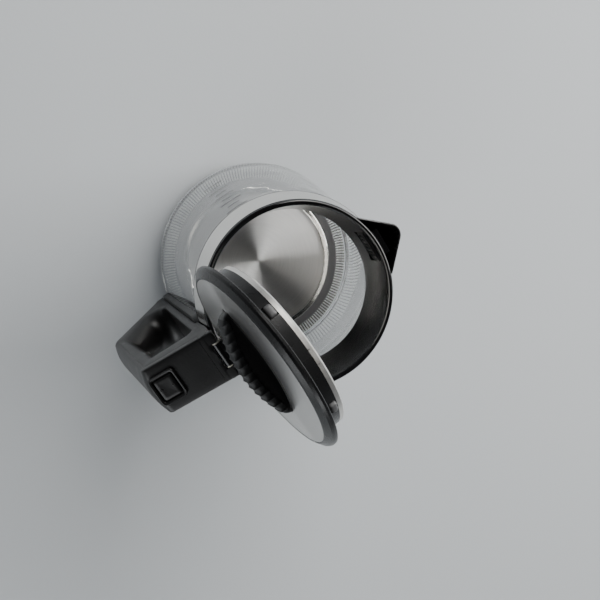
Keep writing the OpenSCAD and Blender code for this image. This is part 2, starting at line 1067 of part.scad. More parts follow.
module lid_ring() {
    bevel_z = lid_low + 1.8;
    color(black)
        lid_place()
            difference() {
                union() {
                    spin([
                        [skirt_r - skirt_wall, lid_base + under_h],
                        [skirt_r, lid_base + under_h],
                        [skirt_r, lid_low],
                        [lid_r - 0.4, lid_low],
                        [lid_r, lid_low + 0.4],
                        [lid_r, bevel_z],
                        [lid_r - 0.9, bevel_z + 1.4],
                        [lid_plate_r + 1.8, lid_top - 0.5],
                        [lid_plate_r + 0.9, lid_top],
                        [lid_plate_r + 0.1, lid_top],
                        [lid_plate_r + 0.1, deck_top],
                        [0, deck_top],
                        [0, deck_top - deck_t],
                        [skirt_r - skirt_wall, deck_top - deck_t]
                    ]);
                    translate([hinge_x, 0, hinge_z])
                        rotate([90, 0, 0])
                            cylinder(r = knuckle_r, h = 2 * knuckle_half, center = true);
                    translate([hinge_x - 1.1, -knuckle_half, lid_low + 0.4])
                        cube([knuckle_r + 2.6, 2 * knuckle_half, hinge_z - lid_low - 0.4]);
                    around(3, lid_post_ring)
                        translate([0, 0, lid_base + under_t + 0.1])
                            cylinder(r = 3.3, h = lid_depth - 3);
                }
                around(3, lid_post_ring)
                    translate([0, 0, lid_base])
                        cylinder(r = lid_screw_r + 0.05, h = 8);
                translate([hinge_x, 0, hinge_z])
                    rotate([90, 0, 0])
                        cylinder(r = hinge_pin_r + pin_fit, h = handle_w, center = true);
                oval(well_l + 0.15, well_w + 0.15, lid_top - 12, lid_top + 1);
                for (side = [-1, 1])
                    tab_slot(side, move_gap);
            }
}

module tab_slot(side, gap) {
    rotate([0, 0, side * tab_angle])
        translate([skirt_r - skirt_wall - 1, -tab_w / 2 - gap, tab_z - tab_h / 2 - gap])
            cube([skirt_wall + 3, tab_w + 2 * gap, tab_h + 2 * gap]);
}

module lid_top_plate() {
    color(steel)
        lid_place()
            difference() {
                translate([0, 0, deck_top])
                    cylinder(r = lid_plate_r, h = top_t);
                oval(well_l + 0.1, well_w + 0.1, deck_top - 1, lid_top + 1);
                // Room for the hinge knuckle.
                translate([hinge_x - 3, -knuckle_half - 0.2, deck_top - 1])
                    cube([knuckle_r + 4.9, 2 * knuckle_half + 0.4, 4]);
            }
}

module lid_under_plate() {
    color(bright)
        lid_place()
            difference() {
                spin([
                    [0, lid_base],
                    [skirt_r - 1, lid_base],
                    [skirt_r - 0.1, lid_base + 0.9],
                    [skirt_r - 0.1, lid_base + under_h - 0.05],
                    [skirt_r - 0.1 - under_t, lid_base + under_h - 0.05],
                    [skirt_r - 0.1 - under_t, lid_base + 1.3],
                    [skirt_r - 1.3, lid_base + under_t],
                    [0, lid_base + under_t]
                ]);
                around(3, lid_post_ring)
                    translate([0, 0, lid_base - 1])
                        cylinder(r = lid_screw_r + 0.1, h = 3);
            }
}

// Height of the arched bar above the steel disc, at distance y from its middle.
bar_arc_r = (pow(bar_len / 2, 2) + pow(bar_rise - bar_end_rise, 2)) / (2 * (bar_rise - bar_end_rise));

// Side view of the bar, drawn in [y, z].
module bar_side(extra) {
    intersection() {
        translate([-bar_len / 2, -well_depth + well_wall / 2])
            square([bar_len, bar_rise + well_depth + extra]);
        translate([0, bar_rise - bar_arc_r + extra])
            circle(r = bar_arc_r);
    }
}

module bar_solid(half, extra) {
    translate([0, 0, lid_top])
        rotate([90, 0, 90])
            linear_extrude(2 * half, center = true)
                bar_side(extra);
}

// Oval finger well with the bar across it.
module lid_grip() {
    color(satin_black)
        lid_place()
            difference() {
                union() {
                    difference() {
                        oval(well_l, well_w, lid_top - well_depth, lid_top + 0.4);
                        oval(
                            well_l - well_wall,
                            well_w - well_wall,
                            lid_top - well_depth + well_wall,
                            lid_top + 1
                        );
                    }
                    intersection() {
                        bar_solid(bar_half, 0);
                        oval(well_l - 0.5, well_w, lid_top - well_depth + 0.2, lid_top + 40);
                    }
                }
                bar_solid_groove();
            }
}

module bar_solid_groove() {
    translate([0, 0, lid_top])
        rotate([90, 0, 90])
            linear_extrude(2 * pad_half + 0.1, center = true)
                difference() {
                    translate([-bar_len / 2 + 3, 0])
                        square([bar_len - 6, 40]);
                    translate([0, bar_rise - bar_arc_r - 1.5])
                        circle(r = bar_arc_r);
                }
}

// Ribbed rubber strip let into the top of the bar.
module grip_pad() {
    rib_r = 1.1;
    rib_span = bar_len - 12;
    pad_base = 1.45;
    color("#2a2a2c")
        lid_place()
            translate([0, 0, lid_top]) {
                rotate([90, 0, 90])
                    linear_extrude(2 * pad_half, center = true)
                        intersection() {
                            translate([-bar_len / 2 + 3.2, 0])
                                square([bar_len - 6.4, 40]);
                            difference() {
                                translate([0, bar_rise - bar_arc_r])
                                    circle(r = bar_arc_r);
                                translate([0, bar_rise - bar_arc_r - pad_base])
                                    circle(r = bar_arc_r);
                            }
                        }
                for (i = [0 : pad_ribs - 1]) {
                    y = -rib_span / 2 + i * rib_span / (pad_ribs - 1);
                    z = bar_rise - bar_arc_r + sqrt(bar_arc_r * bar_arc_r - y * y);
                    translate([0, y, z + pad_rise - rib_r - 0.1])
                        rotate([0, 90, 0])
                            cylinder(r = rib_r, h = 2 * pad_half, center = true);
                }
            }
}

module lid_screws() {
    color("#8a8c8e")
        lid_place()
            around(3, lid_post_ring) {
                translate([0, 0, lid_base - 1.2])
                    cylinder(r = 2.7, h = 1.15);
                translate([0, 0, lid_base - 1.2])
                    cylinder(r = lid_screw_r, h = 8);
            }
}

// Sprung catch that holds the lid in the collar.
module snap_tab(side) {
    color(satin_black)
        lid_place()
            rotate([0, 0, side * tab_angle])
                difference() {
                    translate([skirt_r - tab_deep, -tab_w / 2, tab_z - tab_h / 2])
                        cube([tab_deep + tab_proud, tab_w, tab_h]);
                    // Sloped lead-in faces, above and below.
                    for (end = [-1, 1])
                        translate([skirt_r + tab_proud, 0, tab_z + end * tab_h / 2])
                            rotate([0, 45, 0])
                                cube([2.2, tab_w + 2, 2.2], center = true);
                }
}

module snap_tab_left() snap_tab(1);
module snap_tab_right() snap_tab(-1);

glass_body();
level_marks();
light_ring();
heating_plate();
plate_clamp_ring();
plate_seal();
heat_spreader();
heating_element();
thermostat_control();
thermostat_discs();
cordless_connector();
connector_contacts();
led_board();
leds();
base_housing();
base_cover();
base_screws();
collar();
collar_band();
collar_seal();
spout();
spout_grille();
filter_frame();
filter_mesh();
handle_mount();
handle_shell();
handle_cover();
handle_screws();
switch_bezel();
switch_rocker();
rocker_pin();
trip_lever();
lever_pin();
steam_disc();
microswitch();
switch_spring();
steam_tube();
wire_harness();
hinge_pin();
hinge_washers();
lid_ring();
lid_top_plate();
lid_under_plate();
lid_grip();
grip_pad();
lid_screws();
snap_tab_left();
snap_tab_right();
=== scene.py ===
"""Cordless glass kettle: visible pieces and finishes, built on the kettle's CAD frame."""

import json
import math

import bmesh
import bpy
from bpy.props import FloatProperty, FloatVectorProperty, IntProperty, PointerProperty
from bpy.types import Operator, Panel, PropertyGroup
from mathutils import Matrix, Vector


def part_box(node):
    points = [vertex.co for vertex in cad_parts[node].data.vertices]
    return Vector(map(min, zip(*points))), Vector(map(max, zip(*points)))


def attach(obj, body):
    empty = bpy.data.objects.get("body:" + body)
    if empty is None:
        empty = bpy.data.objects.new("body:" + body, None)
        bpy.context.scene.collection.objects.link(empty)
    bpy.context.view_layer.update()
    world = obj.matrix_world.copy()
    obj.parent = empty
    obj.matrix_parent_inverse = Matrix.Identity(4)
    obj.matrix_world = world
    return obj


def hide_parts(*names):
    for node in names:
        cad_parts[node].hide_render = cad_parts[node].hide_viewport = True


bl_info = {
    "name": "Electric kettle",
    "version": (1, 0, 0),
    "blender": (4, 5, 0),
    "location": "View3D > Sidebar > Kettle",
    "description": "Builds the pieces and finishes of a cordless glass kettle",
    "category": "Object",
}

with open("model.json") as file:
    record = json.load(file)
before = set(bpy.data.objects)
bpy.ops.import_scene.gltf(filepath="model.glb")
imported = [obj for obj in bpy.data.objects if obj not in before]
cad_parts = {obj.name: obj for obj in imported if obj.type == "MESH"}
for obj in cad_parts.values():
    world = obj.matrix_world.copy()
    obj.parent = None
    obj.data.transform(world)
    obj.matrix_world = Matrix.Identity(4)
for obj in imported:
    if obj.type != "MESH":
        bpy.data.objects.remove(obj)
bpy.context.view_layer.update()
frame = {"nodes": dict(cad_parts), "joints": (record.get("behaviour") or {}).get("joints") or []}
JOINTS = {joint["name"]: joint for joint in frame["joints"]}
MM = 0.001
FULL_TURN = 2 * math.pi

# Sizes of the jug that several pieces follow, in millimetres.
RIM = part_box("collar")[1].z / MM
FOOT_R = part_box("glass_body")[1].x / MM
GLASS_TOP_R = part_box("collar_seal")[1].x / MM + 0.05
GLASS_FOOT_Z = 18.0
COLLAR_H = 23.0
COLLAR_LIP = 3.7
COLLAR_LEAN = 0.142  # growth of the collar's radius for each millimetre down
MOUTH_R = 60.3


# ---------- colours and shader nodes ----------
def linear(code):
    """Turns an sRGB hex colour into linear RGBA."""
    channels = [int(code[i : i + 2], 16) / 255 for i in (1, 3, 5)]
    return [c / 12.92 if c <= 0.04045 else ((c + 0.055) / 1.055) ** 2.4 for c in channels] + [1.0]


def add_node(tree, kind, settings=None, links=None):
    """Adds a shader node, with its properties or socket values and its links."""
    node = tree.nodes.new(kind)
    for name, value in (settings or {}).items():
        if isinstance(name, int) or name in node.inputs:
            node.inputs[name].default_value = value
        else:
            setattr(node, name, value)
    for name, source in (links or {}).items():
        tree.links.new(source, node.inputs[name])
    return node


def start_material(name, values):
    """A material whose Principled shader has the given socket values."""
    material = bpy.data.materials.new(name)
    material.use_nodes = True
    shader = material.node_tree.nodes["Principled BSDF"]
    for socket, value in values.items():
        shader.inputs[socket].default_value = value
    return material, material.node_tree, shader


def grain(tree, size, detail=3.0):
    """Spots of about the given size in metres, as a height between 0 and 1."""
    coords = add_node(tree, "ShaderNodeTexCoord").outputs["Object"]
    settings = {"Scale": 1.0 / size, "Detail": detail}
    return add_node(tree, "ShaderNodeTexNoise", settings, {"Vector": coords}).outputs["Fac"]


def surface(tree, shader, height, roughness=None, relief=0.0, strength=1.0):
    """Lets a height between 0 and 1 vary the roughness over a range, and stand up by a relief in metres."""
    if roughness:
        ends = {"To Min": roughness[0], "To Max": roughness[1]}
        spread = add_node(tree, "ShaderNodeMapRange", ends, {"Value": height})
        tree.links.new(spread.outputs["Result"], shader.inputs["Roughness"])
    if relief:
        values = {"Distance": relief, "Strength": strength}
        bump = add_node(tree, "ShaderNodeBump", values, {"Height": height})
        tree.links.new(bump.outputs["Normal"], shader.inputs["Normal"])


def turn_angle(tree, coords):
    """Angle of a point round the kettle's axis."""
    parts = add_node(tree, "ShaderNodeSeparateXYZ", None, {0: coords}).outputs
    return add_node(tree, "ShaderNodeMath", {"operation": "ARCTAN2"}, {0: parts[1], 1: parts[0]}).outputs[0]


def turned_coords(tree, pitch):
    """Coordinates that change fast with radius and slowly round the axis, for lathe-turned grooves."""
    coords = add_node(tree, "ShaderNodeTexCoord").outputs["Object"]
    level = add_node(tree, "ShaderNodeVectorMath", {"operation": "MULTIPLY", 1: (1.0, 1.0, 0.0)}, {0: coords})
    radius = add_node(tree, "ShaderNodeVectorMath", {"operation": "LENGTH"}, {0: level.outputs[0]})
    scaled = {"operation": "MULTIPLY", 1: 1.0 / pitch}
    rings = add_node(tree, "ShaderNodeMath", scaled, {0: radius.outputs["Value"]})
    angle = turn_angle(tree, coords)
    slow = add_node(tree, "ShaderNodeMath", {"operation": "SINE"}, {0: angle})
    axes = {0: rings.outputs[0], 1: slow.outputs[0], 2: angle}
    return add_node(tree, "ShaderNodeCombineXYZ", None, axes).outputs[0]


# ---------- finishes ----------
def borosilicate_glass(look):
    # Borosilicate glass, drawn and fire polished: clear, with a slow waviness that bends what lies behind it.
    material, tree, shader = start_material(
        "borosilicate_glass_fire_polished",
        {"Base Color": look.glass, "Roughness": 0.0, "IOR": 1.47, "Transmission Weight": 1.0},
    )
    surface(tree, shader, grain(tree, 30 * MM, 1.0), relief=0.12 * MM)
    return material


def ribbed_acrylic(look):
    # Acrylic, injection moulded with fine ribs: pale and glossy, each rib catching a bright line.
    material, tree, shader = start_material(
        "acrylic_clear_moulded",
        {"Base Color": look.acrylic, "Roughness": 0.12, "IOR": 1.49, "Transmission Weight": 0.15},
    )
    surface(tree, shader, grain(tree, 4 * MM, 2.0), (0.08, 0.2))
    # Painted shade between the ribs: the base colour turns near black in each gap, where the black tray below
    # would show through.
    coords = add_node(tree, "ShaderNodeTexCoord").outputs["Object"]
    ribs = {"operation": "MULTIPLY", 1: float(bpy.context.scene.kettle_sizes.ring_ribs)}
    turns = add_node(tree, "ShaderNodeMath", ribs, {0: turn_angle(tree, coords)})
    wave = add_node(tree, "ShaderNodeMath", {"operation": "COSINE"}, {0: turns.outputs[0]})
    ends = {"From Min": -0.9, "From Max": 0.1}
    gap = add_node(tree, "ShaderNodeMapRange", ends, {"Value": wave.outputs[0]})
    tones = {"data_type": "RGBA", 6: linear("#101011"), 7: look.acrylic}
    painted_shade_tone = add_node(tree, "ShaderNodeMix", tones, {0: gap.outputs[0]})
    tree.links.new(painted_shade_tone.outputs[2], shader.inputs["Base Color"])
    return material


def heater_steel(look):
    # Stainless steel, spun against an abrasive: fine rings that fan the light out in sectors.
    # The rings are drawn 0.5 mm apart, coarser than real ones, so that they show.
    roughness, spread = 0.42, 0.06
    material, tree, shader = start_material(
        "stainless_steel_turned",
        {
            "Base Color": look.steel,
            "Metallic": 1.0,
            "Roughness": roughness,
            "Anisotropic": 1.0,
            "Anisotropic Rotation": 0.25,
        },
    )
    rings = turned_coords(tree, 0.5 * MM)
    settings = {"Scale": 1.0, "Detail": 3.0, "Roughness": 0.6}
    grooves = add_node(tree, "ShaderNodeTexNoise", settings, {"Vector": rings}).outputs["Fac"]
    surface(tree, shader, grooves, (roughness - spread, roughness + spread))
    # Painted shade: the base colour turns a darker grey in the grooves.
    tones = {"data_type": "RGBA", 6: linear("#BDBCBB"), 7: look.steel}
    painted_shade_tone = add_node(tree, "ShaderNodeMix", tones, {0: grooves})
    tree.links.new(painted_shade_tone.outputs[2], shader.inputs["Base Color"])
    tangent = add_node(tree, "ShaderNodeTangent", {"direction_type": "RADIAL", "axis": "Z"})
    tree.links.new(tangent.outputs[0], shader.inputs["Tangent"])
    return material


def lid_steel(look):
    # Stainless steel sheet, brushed along the disc: a soft streaked sheen.
    material, tree, shader = start_material(
        "stainless_steel_brushed",
        {"Base Color": look.steel, "Metallic": 1.0, "Roughness": 0.3, "Anisotropic": 0.6},
    )
    # Streaks run along Y, 0.625 mm wide and 40 mm long, coarser than real ones so that they show.
    width, length = 0.625 * MM, 40 * MM
    coords = add_node(tree, "ShaderNodeTexCoord").outputs["Object"]
    scale = {"Scale": (1 / width, 1 / length, 1 / width)}
    along = add_node(tree, "ShaderNodeMapping", scale, {"Vector": coords})
    settings = {"Scale": 1.0, "Detail": 3.0}
    streaks = add_node(tree, "ShaderNodeTexNoise", settings, {"Vector": along.outputs[0]}).outputs["Fac"]
    surface(tree, shader, streaks, (0.24, 0.38), 0.02 * MM, 0.4)
    return material


def polished_steel(look):
    # Stainless steel, buffed: a near mirror with faint wipe marks.
    values = {"Base Color": look.bright_steel, "Metallic": 1.0, "Roughness": 0.1}
    material, tree, shader = start_material("stainless_steel_buffed", values)
    surface(tree, shader, grain(tree, 8 * MM, 4.0), (0.06, 0.17))
    return material


def moulded(name, colour, roughness, size, relief, drift):
    """Moulded plastic or rubber: its grain's size and relief in millimetres, and its gloss's drift."""
    values = {"Base Color": colour, "Roughness": roughness, "IOR": 1.53}
    material, tree, shader = start_material(name, values)
    surface(tree, shader, grain(tree, 12 * MM), (roughness - drift, roughness + drift))
    surface(tree, shader, grain(tree, size * MM), relief=relief * MM)
    return material


def gloss_abs(look):
    # ABS, injection moulded in a polished tool: deep black gloss with a trace of orange peel.
    return moulded("abs_gloss_moulded", look.gloss_black, 0.14, 6.0, 0.04, 0.04)


def soft_gloss_abs(look):
    # ABS, moulded and worn to a soft gloss: highlights run out smoothly along the ring.
    return moulded("abs_soft_gloss_moulded", look.gloss_black, 0.27, 4.0, 0.03, 0.04)


def satin_pp(look):
    # Polypropylene, moulded in a spark-eroded tool: soft sheen, grain drawn 0.9 mm so that it shows.
    return moulded("polypropylene_spark_grain", look.satin_black, 0.4, 0.9, 0.06, 0.06)


def ribbed_rubber(look):
    # Thermoplastic rubber, over-moulded: matt, slightly dusty black.
    return moulded("rubber_overmoulded", look.rubber, 0.62, 0.7, 0.06, 0.08)


def silicone_seal(look):
    # Silicone rubber, compression moulded: smooth grey with a waxy sheen.
    return moulded("silicone_moulded", look.silicone, 0.38, 2.0, 0.04, 0.06)


def grey_acetal_painted_reflection(look):
    # Acetal, moulded: dark grey with a dry sheen, painted lighter than the black plastic as a painted
    # reflection of the light.
    return moulded("acetal_grey_painted_reflection", linear("#4A4A4B"), 0.42, 1.0, 0.04, 0.06)


def ivory_nylon(look):
    # Nylon, moulded natural: off-white, waxy.
    return moulded("nylon_natural_moulded", linear("#DAD6C8"), 0.42, 1.5, 0.03, 0.06)


def green_board(look):
    # Glass-epoxy board, solder-resist lacquered: glossy green.
    return moulded("epoxy_board_lacquered", linear("#1F5A35"), 0.25, 2.0, 0.03, 0.05)


def red_pvc(look):
    # PVC wire cover, extruded: soft red.
    return moulded("pvc_extruded", linear("#8A2B2B"), 0.4, 2.0, 0.02, 0.05)


def printed_ink(look):
    # Ceramic ink, screen printed and fired: thin matt marks with uneven cover.
    values = {"Base Color": look.ink, "Roughness": 0.55, "IOR": 1.5}
    material, tree, shader = start_material("ceramic_ink_printed", values)
    surface(tree, shader, grain(tree, 1.2 * MM), (0.45, 0.7), 0.03 * MM)
    return material


def worked_metal(name, colour, roughness, size):
    """Metal whose blotches, of a size in millimetres, vary its roughness and stand slightly up."""
    values = {"Base Color": colour, "Metallic": 1.0, "Roughness": roughness}
    material, tree, shader = start_material(name, values)
    surface(tree, shader, grain(tree, size * MM, 4.0), (roughness - 0.08, roughness + 0.12), 0.03 * MM)
    return material


def soft_steel(look):
    # Stainless steel cup, pressed and tumbled: bright but blurred, so its edge glows all round.
    return worked_metal("stainless_steel_tumbled", look.bright_steel, 0.3, 3.0)


def cast_aluminium(look):
    # Aluminium, die cast: dull grey with a coarse skin.
    return worked_metal("aluminium_cast", linear("#B4B5B8"), 0.5, 1.5)


def tinted_sheath(look):
    # Stainless sheath, heat tinted: brownish grey.
    return worked_metal("steel_sheath_heat_tinted", linear("#7A7068"), 0.42, 3.0)


def stamped_bimetal(look):
    # Bimetal strip, stamped: warm brassy grey.
    return worked_metal("bimetal_stamped", linear("#C4AA72"), 0.32, 2.0)


def turned_brass(look):
    # Brass, turned: yellow with a fine tool finish.
    return worked_metal("brass_turned", linear("#C8A24E"), 0.26, 1.0)


def zinc_plate(look):
    # Steel, zinc plated: bluish grey, slightly cloudy.
    return worked_metal("steel_zinc_plated", linear("#A4A7AB"), 0.34, 1.2)


def woven_mesh(look):
    # Stainless wire cloth, woven at 1.2 mm so that the weave shows: bright wires, with the small cells
    # between them painted near black as painted shade.
    pitch = 1.2 * MM
    values = {"Base Color": linear("#A9ABAD"), "Metallic": 1.0, "Roughness": 0.35}
    material, tree, shader = start_material("stainless_wire_cloth", values)
    coords = add_node(tree, "ShaderNodeTexCoord").outputs["Object"]
    parts = add_node(tree, "ShaderNodeSeparateXYZ", None, {0: coords}).outputs
    scaled = {"operation": "MULTIPLY", 1: FULL_TURN / pitch}
    waves = {}
    for index, axis in enumerate((1, 2)):
        turns = add_node(tree, "ShaderNodeMath", scaled, {0: parts[axis]})
        wave = add_node(tree, "ShaderNodeMath", {"operation": "SINE"}, {0: turns.outputs[0]})
        waves[index] = wave.outputs[0]
    weave = add_node(tree, "ShaderNodeMath", {"operation": "MAXIMUM"}, waves).outputs[0]
    # Painted shade: the open cells between the wires turn near black in the base colour.
    ramp = add_node(tree, "ShaderNodeValToRGB", None, {0: weave})
    ramp.color_ramp.elements[0].color = (0.004, 0.004, 0.004, 1.0)
    ramp.color_ramp.elements[1].color = linear("#B4B6B8")
    tree.links.new(ramp.outputs[0], shader.inputs["Base Color"])
    surface(tree, shader, weave, relief=0.2 * MM)
    return material


FINISHES = {}


def finish(maker):
    """The material that a finish's function makes, made once."""
    if maker not in FINISHES:
        FINISHES[maker] = maker(bpy.context.scene.kettle_look)
    return FINISHES[maker]


def coat(**finishes):
    """Gives CAD nodes their finishes, as node=finish."""
    for node, maker in finishes.items():
        slots = frame["nodes"][node].data.materials
        if len(slots) == 0:
            slots.append(finish(maker))
        for index in range(len(slots)):
            slots[index] = finish(maker)


# ---------- mesh tools ----------
def make_piece(name, vertices, faces, maker, body, slot, stands_for, sharp=35.0, place=None):
    """Makes a mesh piece in metres that stands for a CAD node, shades it, and joins it to a body."""
    mesh = bpy.data.meshes.new(name)
    mesh.from_pydata([Vector(v) for v in vertices], [], faces)
    work = bmesh.new()
    work.from_mesh(mesh)
    bmesh.ops.remove_doubles(work, verts=work.verts, dist=1e-7)
    bmesh.ops.recalc_face_normals(work, faces=work.faces)
    work.to_mesh(mesh)
    work.free()
    if place is not None:
        mesh.transform(place)
    mesh.validate()
    mesh.shade_smooth()
    mesh.set_sharp_from_angle(angle=math.radians(sharp))
    piece = bpy.data.objects.new(name, mesh)
    bpy.context.scene.collection.objects.link(piece)
    mesh.materials.append(finish(maker))
    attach(piece, body)
    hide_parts(stands_for)


def skin(rings, close_ring=True, cap=True):
    """Faces between rings of equal length, with flat caps on the first and the last."""
    count = len(rings[0])
    faces = []
    span = count if close_ring else count - 1
    for row in range(len(rings) - 1):
        for i in range(span):
            j = (i + 1) % count
            a = row * count
            faces.append((a + i, a + j, a + count + j, a + count + i))
    if cap:
        faces.append(tuple(reversed(range(count))))
        last = (len(rings) - 1) * count
        faces.append(tuple(last + i for i in range(count)))
    return faces


def add_part(vertices, faces, more_vertices, more_faces):
    """Joins another shape's vertices and faces to a growing mesh."""
    base = len(vertices)
    vertices.extend(more_vertices)
    faces.extend(tuple(base + i for i in face) for face in more_faces)


def flat(rings):
    """The points of all rings in one list."""
    return [point for ring in rings for point in ring]


def disc_ring(x, y, z, radius, count):
    """Level circle round a point."""
    angles = [FULL_TURN * k / count for k in range(count)]
    return [(x + radius * math.cos(a), y + radius * math.sin(a), z) for a in angles]


def to_metres(points):
    """Points given in millimetres, in metres."""
    return [tuple(value * MM for value in point) for point in points]


def half_angle(before, corner, after):
    """Unit directions from a corner to its neighbours, and half the angle between them."""
    u, v = (before - corner).normalized(), (after - corner).normalized()
    return u, v, math.acos(max(-1.0, min(1.0, u.dot(v)))) / 2


def round_corner(before, corner, after, radius, steps=8):
    """Points of a round at a corner of a side view."""
    b = Vector(corner)
    u, v, half = half_angle(Vector(before), b, Vector(after))
    centre = b + (u + v).normalized() * radius / math.sin(half)
    p, q = (b + side * radius / math.tan(half) - centre for side in (u, v))
    start = math.atan2(p.y, p.x)
    sweep = math.remainder(math.atan2(q.y, q.x) - start, FULL_TURN)
    angles = [start + sweep * i / steps for i in range(steps + 1)]
    return [(centre.x + radius * math.cos(t), centre.y + radius * math.sin(t)) for t in angles]


def rounded_outline(points, radii, steps=8):
    """A closed outline with a round of its own radius at each corner."""
    count = len(points)
    result = []
    for i, point in enumerate(points):
        if radii[i] > 0:
            result += round_corner(points[i - 1], point, points[(i + 1) % count], radii[i], steps)
        else:
            result.append(tuple(point))
    return result


def inset_outline(points, depth):
    """A closed outline moved inwards by a depth."""
    count = len(points)
    result = []
    for i, point in enumerate(points):
        b = Vector(point)
        u, v, half = half_angle(Vector(points[i - 1]), b, Vector(points[(i + 1) % count]))
        result.append(tuple(b + (u + v).normalized() * depth / math.sin(half)))
    return result


def dense(points, step):
    """Adds points along the straight stretches of an open line."""
    result = [points[0]]
    for a, b in zip(points, points[1:]):
        length = math.dist(a, b)
        parts = max(1, int(math.ceil(length / step)))
        for k in range(1, parts + 1):
            t = k / parts
            result.append((a[0] + (b[0] - a[0]) * t, a[1] + (b[1] - a[1]) * t))
    return result


def outward(points, marks, index):
    """Unit normal to the left of a closed line at a point, from its neighbours of the same mark."""
    count = len(points)
    before, after = (index - 1) % count, (index + 1) % count
    a = Vector(points[before if marks[before] == marks[index] else index])
    b = Vector(points[after if marks[after] == marks[index] else index])
    d = (b - a).normalized()
    return Vector((-d.y, d.x))


# ---------- sizes and colours ----------
def size_property(name, description, default):
    """A size in metres that a maker can change."""
    return FloatProperty(name=name, description=description, default=default, unit="LENGTH")


def colour_property(name, description, code):
    """A colour that a maker can change, from its sRGB hex code."""
    shade = linear(code)
    return FloatVectorProperty(name=name, description=description, subtype="COLOR", size=4, default=shade)


class KettleSizes(PropertyGroup):
    """Sizes that a maker would change."""

    handle_width: size_property("Handle width", "Width across the hand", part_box("handle_shell")[1].y * 2)
    edge_round: size_property("Edge round", "Radius along the handle's edges", 1.3 * MM)
    grip_crown: size_property("Grip crown", "How far the grip's outer face bulges in its middle", 3.8 * MM)
    hole_crown: size_property("Hole crown", "How far the grip's inner face bulges in its middle", 13 * MM)
    cover_depth: size_property("Cover depth", "Depth of the handle's cover down to its seam", 6.5 * MM)
    spout_wall: size_property("Spout wall", "Wall of the spout", 1.8 * MM)
    ring_ribs: IntProperty(name="Ring ribs", description="Number of ribs round the clear ring", default=200)
    pad_ribs: IntProperty(name="Pad ribs", description="Number of ribs on the grip bar", default=13)
    bar_rise: size_property("Bar rise", "Height of the grip bar's arch above the lid", 11 * MM)


class KettleLook(PropertyGroup):
    """Colours of the kettle's finishes."""

    glass: colour_property("Glass", "Tint of the glass", "#FCFDFD")
    acrylic: colour_property("Clear ring", "Tint of the ribbed ring", "#F2F4F4")
    steel: colour_property("Brushed steel", "Colour of the brushed steel", "#DAD9D7")
    bright_steel: colour_property("Buffed steel", "Colour of the buffed steel", "#E4E2DE")
    gloss_black: colour_property("Gloss black", "Colour of the glossy plastic", "#0B0B0C")
    satin_black: colour_property("Satin black", "Colour of the handle", "#151414")
    rubber: colour_property("Rubber", "Colour of the grip strip", "#1B1B1C")
    silicone: colour_property("Silicone", "Colour of the seal", "#4E4D4E")
    ink: colour_property("Ink", "Colour of the level marks", "#77797B")
    floor: colour_property("Floor", "Colour of the floor", "#C3C7CA")


# ---------- jug ----------
class KETTLE_OT_glass_jug(Operator):
    """Finishes the glass jug and its printed level marks."""

    bl_idname = "kettle.glass_jug"
    bl_label = "Glass jug"

    def execute(self, context):
        coat(glass_body=borosilicate_glass, level_marks=printed_ink)
        return {"FINISHED"}


class KETTLE_OT_heater(Operator):
    """Finishes the heating plate and everything fixed to it."""

    bl_idname = "kettle.heater"
    bl_label = "Heater"

    def execute(self, context):
        coat(
            heating_plate=heater_steel, plate_clamp_ring=polished_steel, plate_seal=silicone_seal,
            heat_spreader=cast_aluminium, heating_element=tinted_sheath,
            thermostat_control=ivory_nylon, thermostat_discs=stamped_bimetal, led_board=green_board,
            leds=ribbed_acrylic,
        )
        return {"FINISHED"}


class KETTLE_OT_clear_ring(Operator):
    """Builds the clear ring with its moulded ribs."""

    bl_idname = "kettle.clear_ring"
    bl_label = "Clear ribbed ring"

    # Share of the grooves' depth at each step from one rib's crest to the next.
    RIB_STEPS = (0.0, 0.55, 1.0, 0.55)
    SIDE_GROOVE = 0.35 * MM
    TOP_GROOVE = 0.9 * MM
    MIDDLE_GROOVE = 0.6 * MM
    EDGE = 1.0 * MM
    CLEARANCE = 0.1 * MM
    BAND_INSETS = (10.1 * MM, 3.9 * MM)
    BAND_FLANK = 0.3 * MM

    def profile(self, groove, inner, outer, low_z, high_z):
        """Section of the ring, where its grooves have a given share of their depth."""
        side, top = outer - self.SIDE_GROOVE * groove, high_z - self.CLEARANCE
        band_in, band_out = (outer - inset for inset in self.BAND_INSETS)
        trough = top - self.TOP_GROOVE * groove
        return [
            (inner, low_z),
            (side, low_z),
            (side, high_z - self.EDGE),
            (outer - self.EDGE, top),
            (band_out, top),
            (band_out - self.BAND_FLANK, trough),
            ((band_in + band_out) / 2, top - self.MIDDLE_GROOVE * groove),
            (band_in + self.BAND_FLANK, trough),
            (band_in, top),
            (inner, top),
        ]

    def execute(self, context):
        low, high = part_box("light_ring")
        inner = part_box("plate_seal")[1].x - 0.6 * MM
        count = context.scene.kettle_sizes.ring_ribs * len(self.RIB_STEPS)
        rings = []
        for k in range(count):
            angle = FULL_TURN * k / count
            groove = self.RIB_STEPS[k % len(self.RIB_STEPS)]
            section = self.profile(groove, inner, high.x, low.z, high.z)
            rings.append([(r * math.cos(angle), r * math.sin(angle), z) for r, z in section])
        rings.append(rings[0])
        faces = skin(rings, cap=False)
        finishes = (ribbed_acrylic, "jug", "ribbed_clear")
        make_piece("clear_ribbed_ring", flat(rings), faces, *finishes, "light_ring", 20)
        return {"FINISHED"}


class KETTLE_OT_base(Operator):
    """Finishes the base tray, its cover and the cordless connector."""

    bl_idname = "kettle.base"
    bl_label = "Base"

    def execute(self, context):
        coat(
            base_housing=satin_pp, base_cover=satin_pp, base_screws=zinc_plate,
            cordless_connector=gloss_abs, connector_contacts=turned_brass, wire_harness=red_pvc,
        )
        return {"FINISHED"}


class KETTLE_OT_collar(Operator):
    """Finishes the collar, its steel band and its seal."""

    bl_idname = "kettle.collar"
    bl_label = "Collar"

    def execute(self, context):
        coat(collar=gloss_abs, collar_band=polished_steel, collar_seal=silicone_seal)
        return {"FINISHED"}


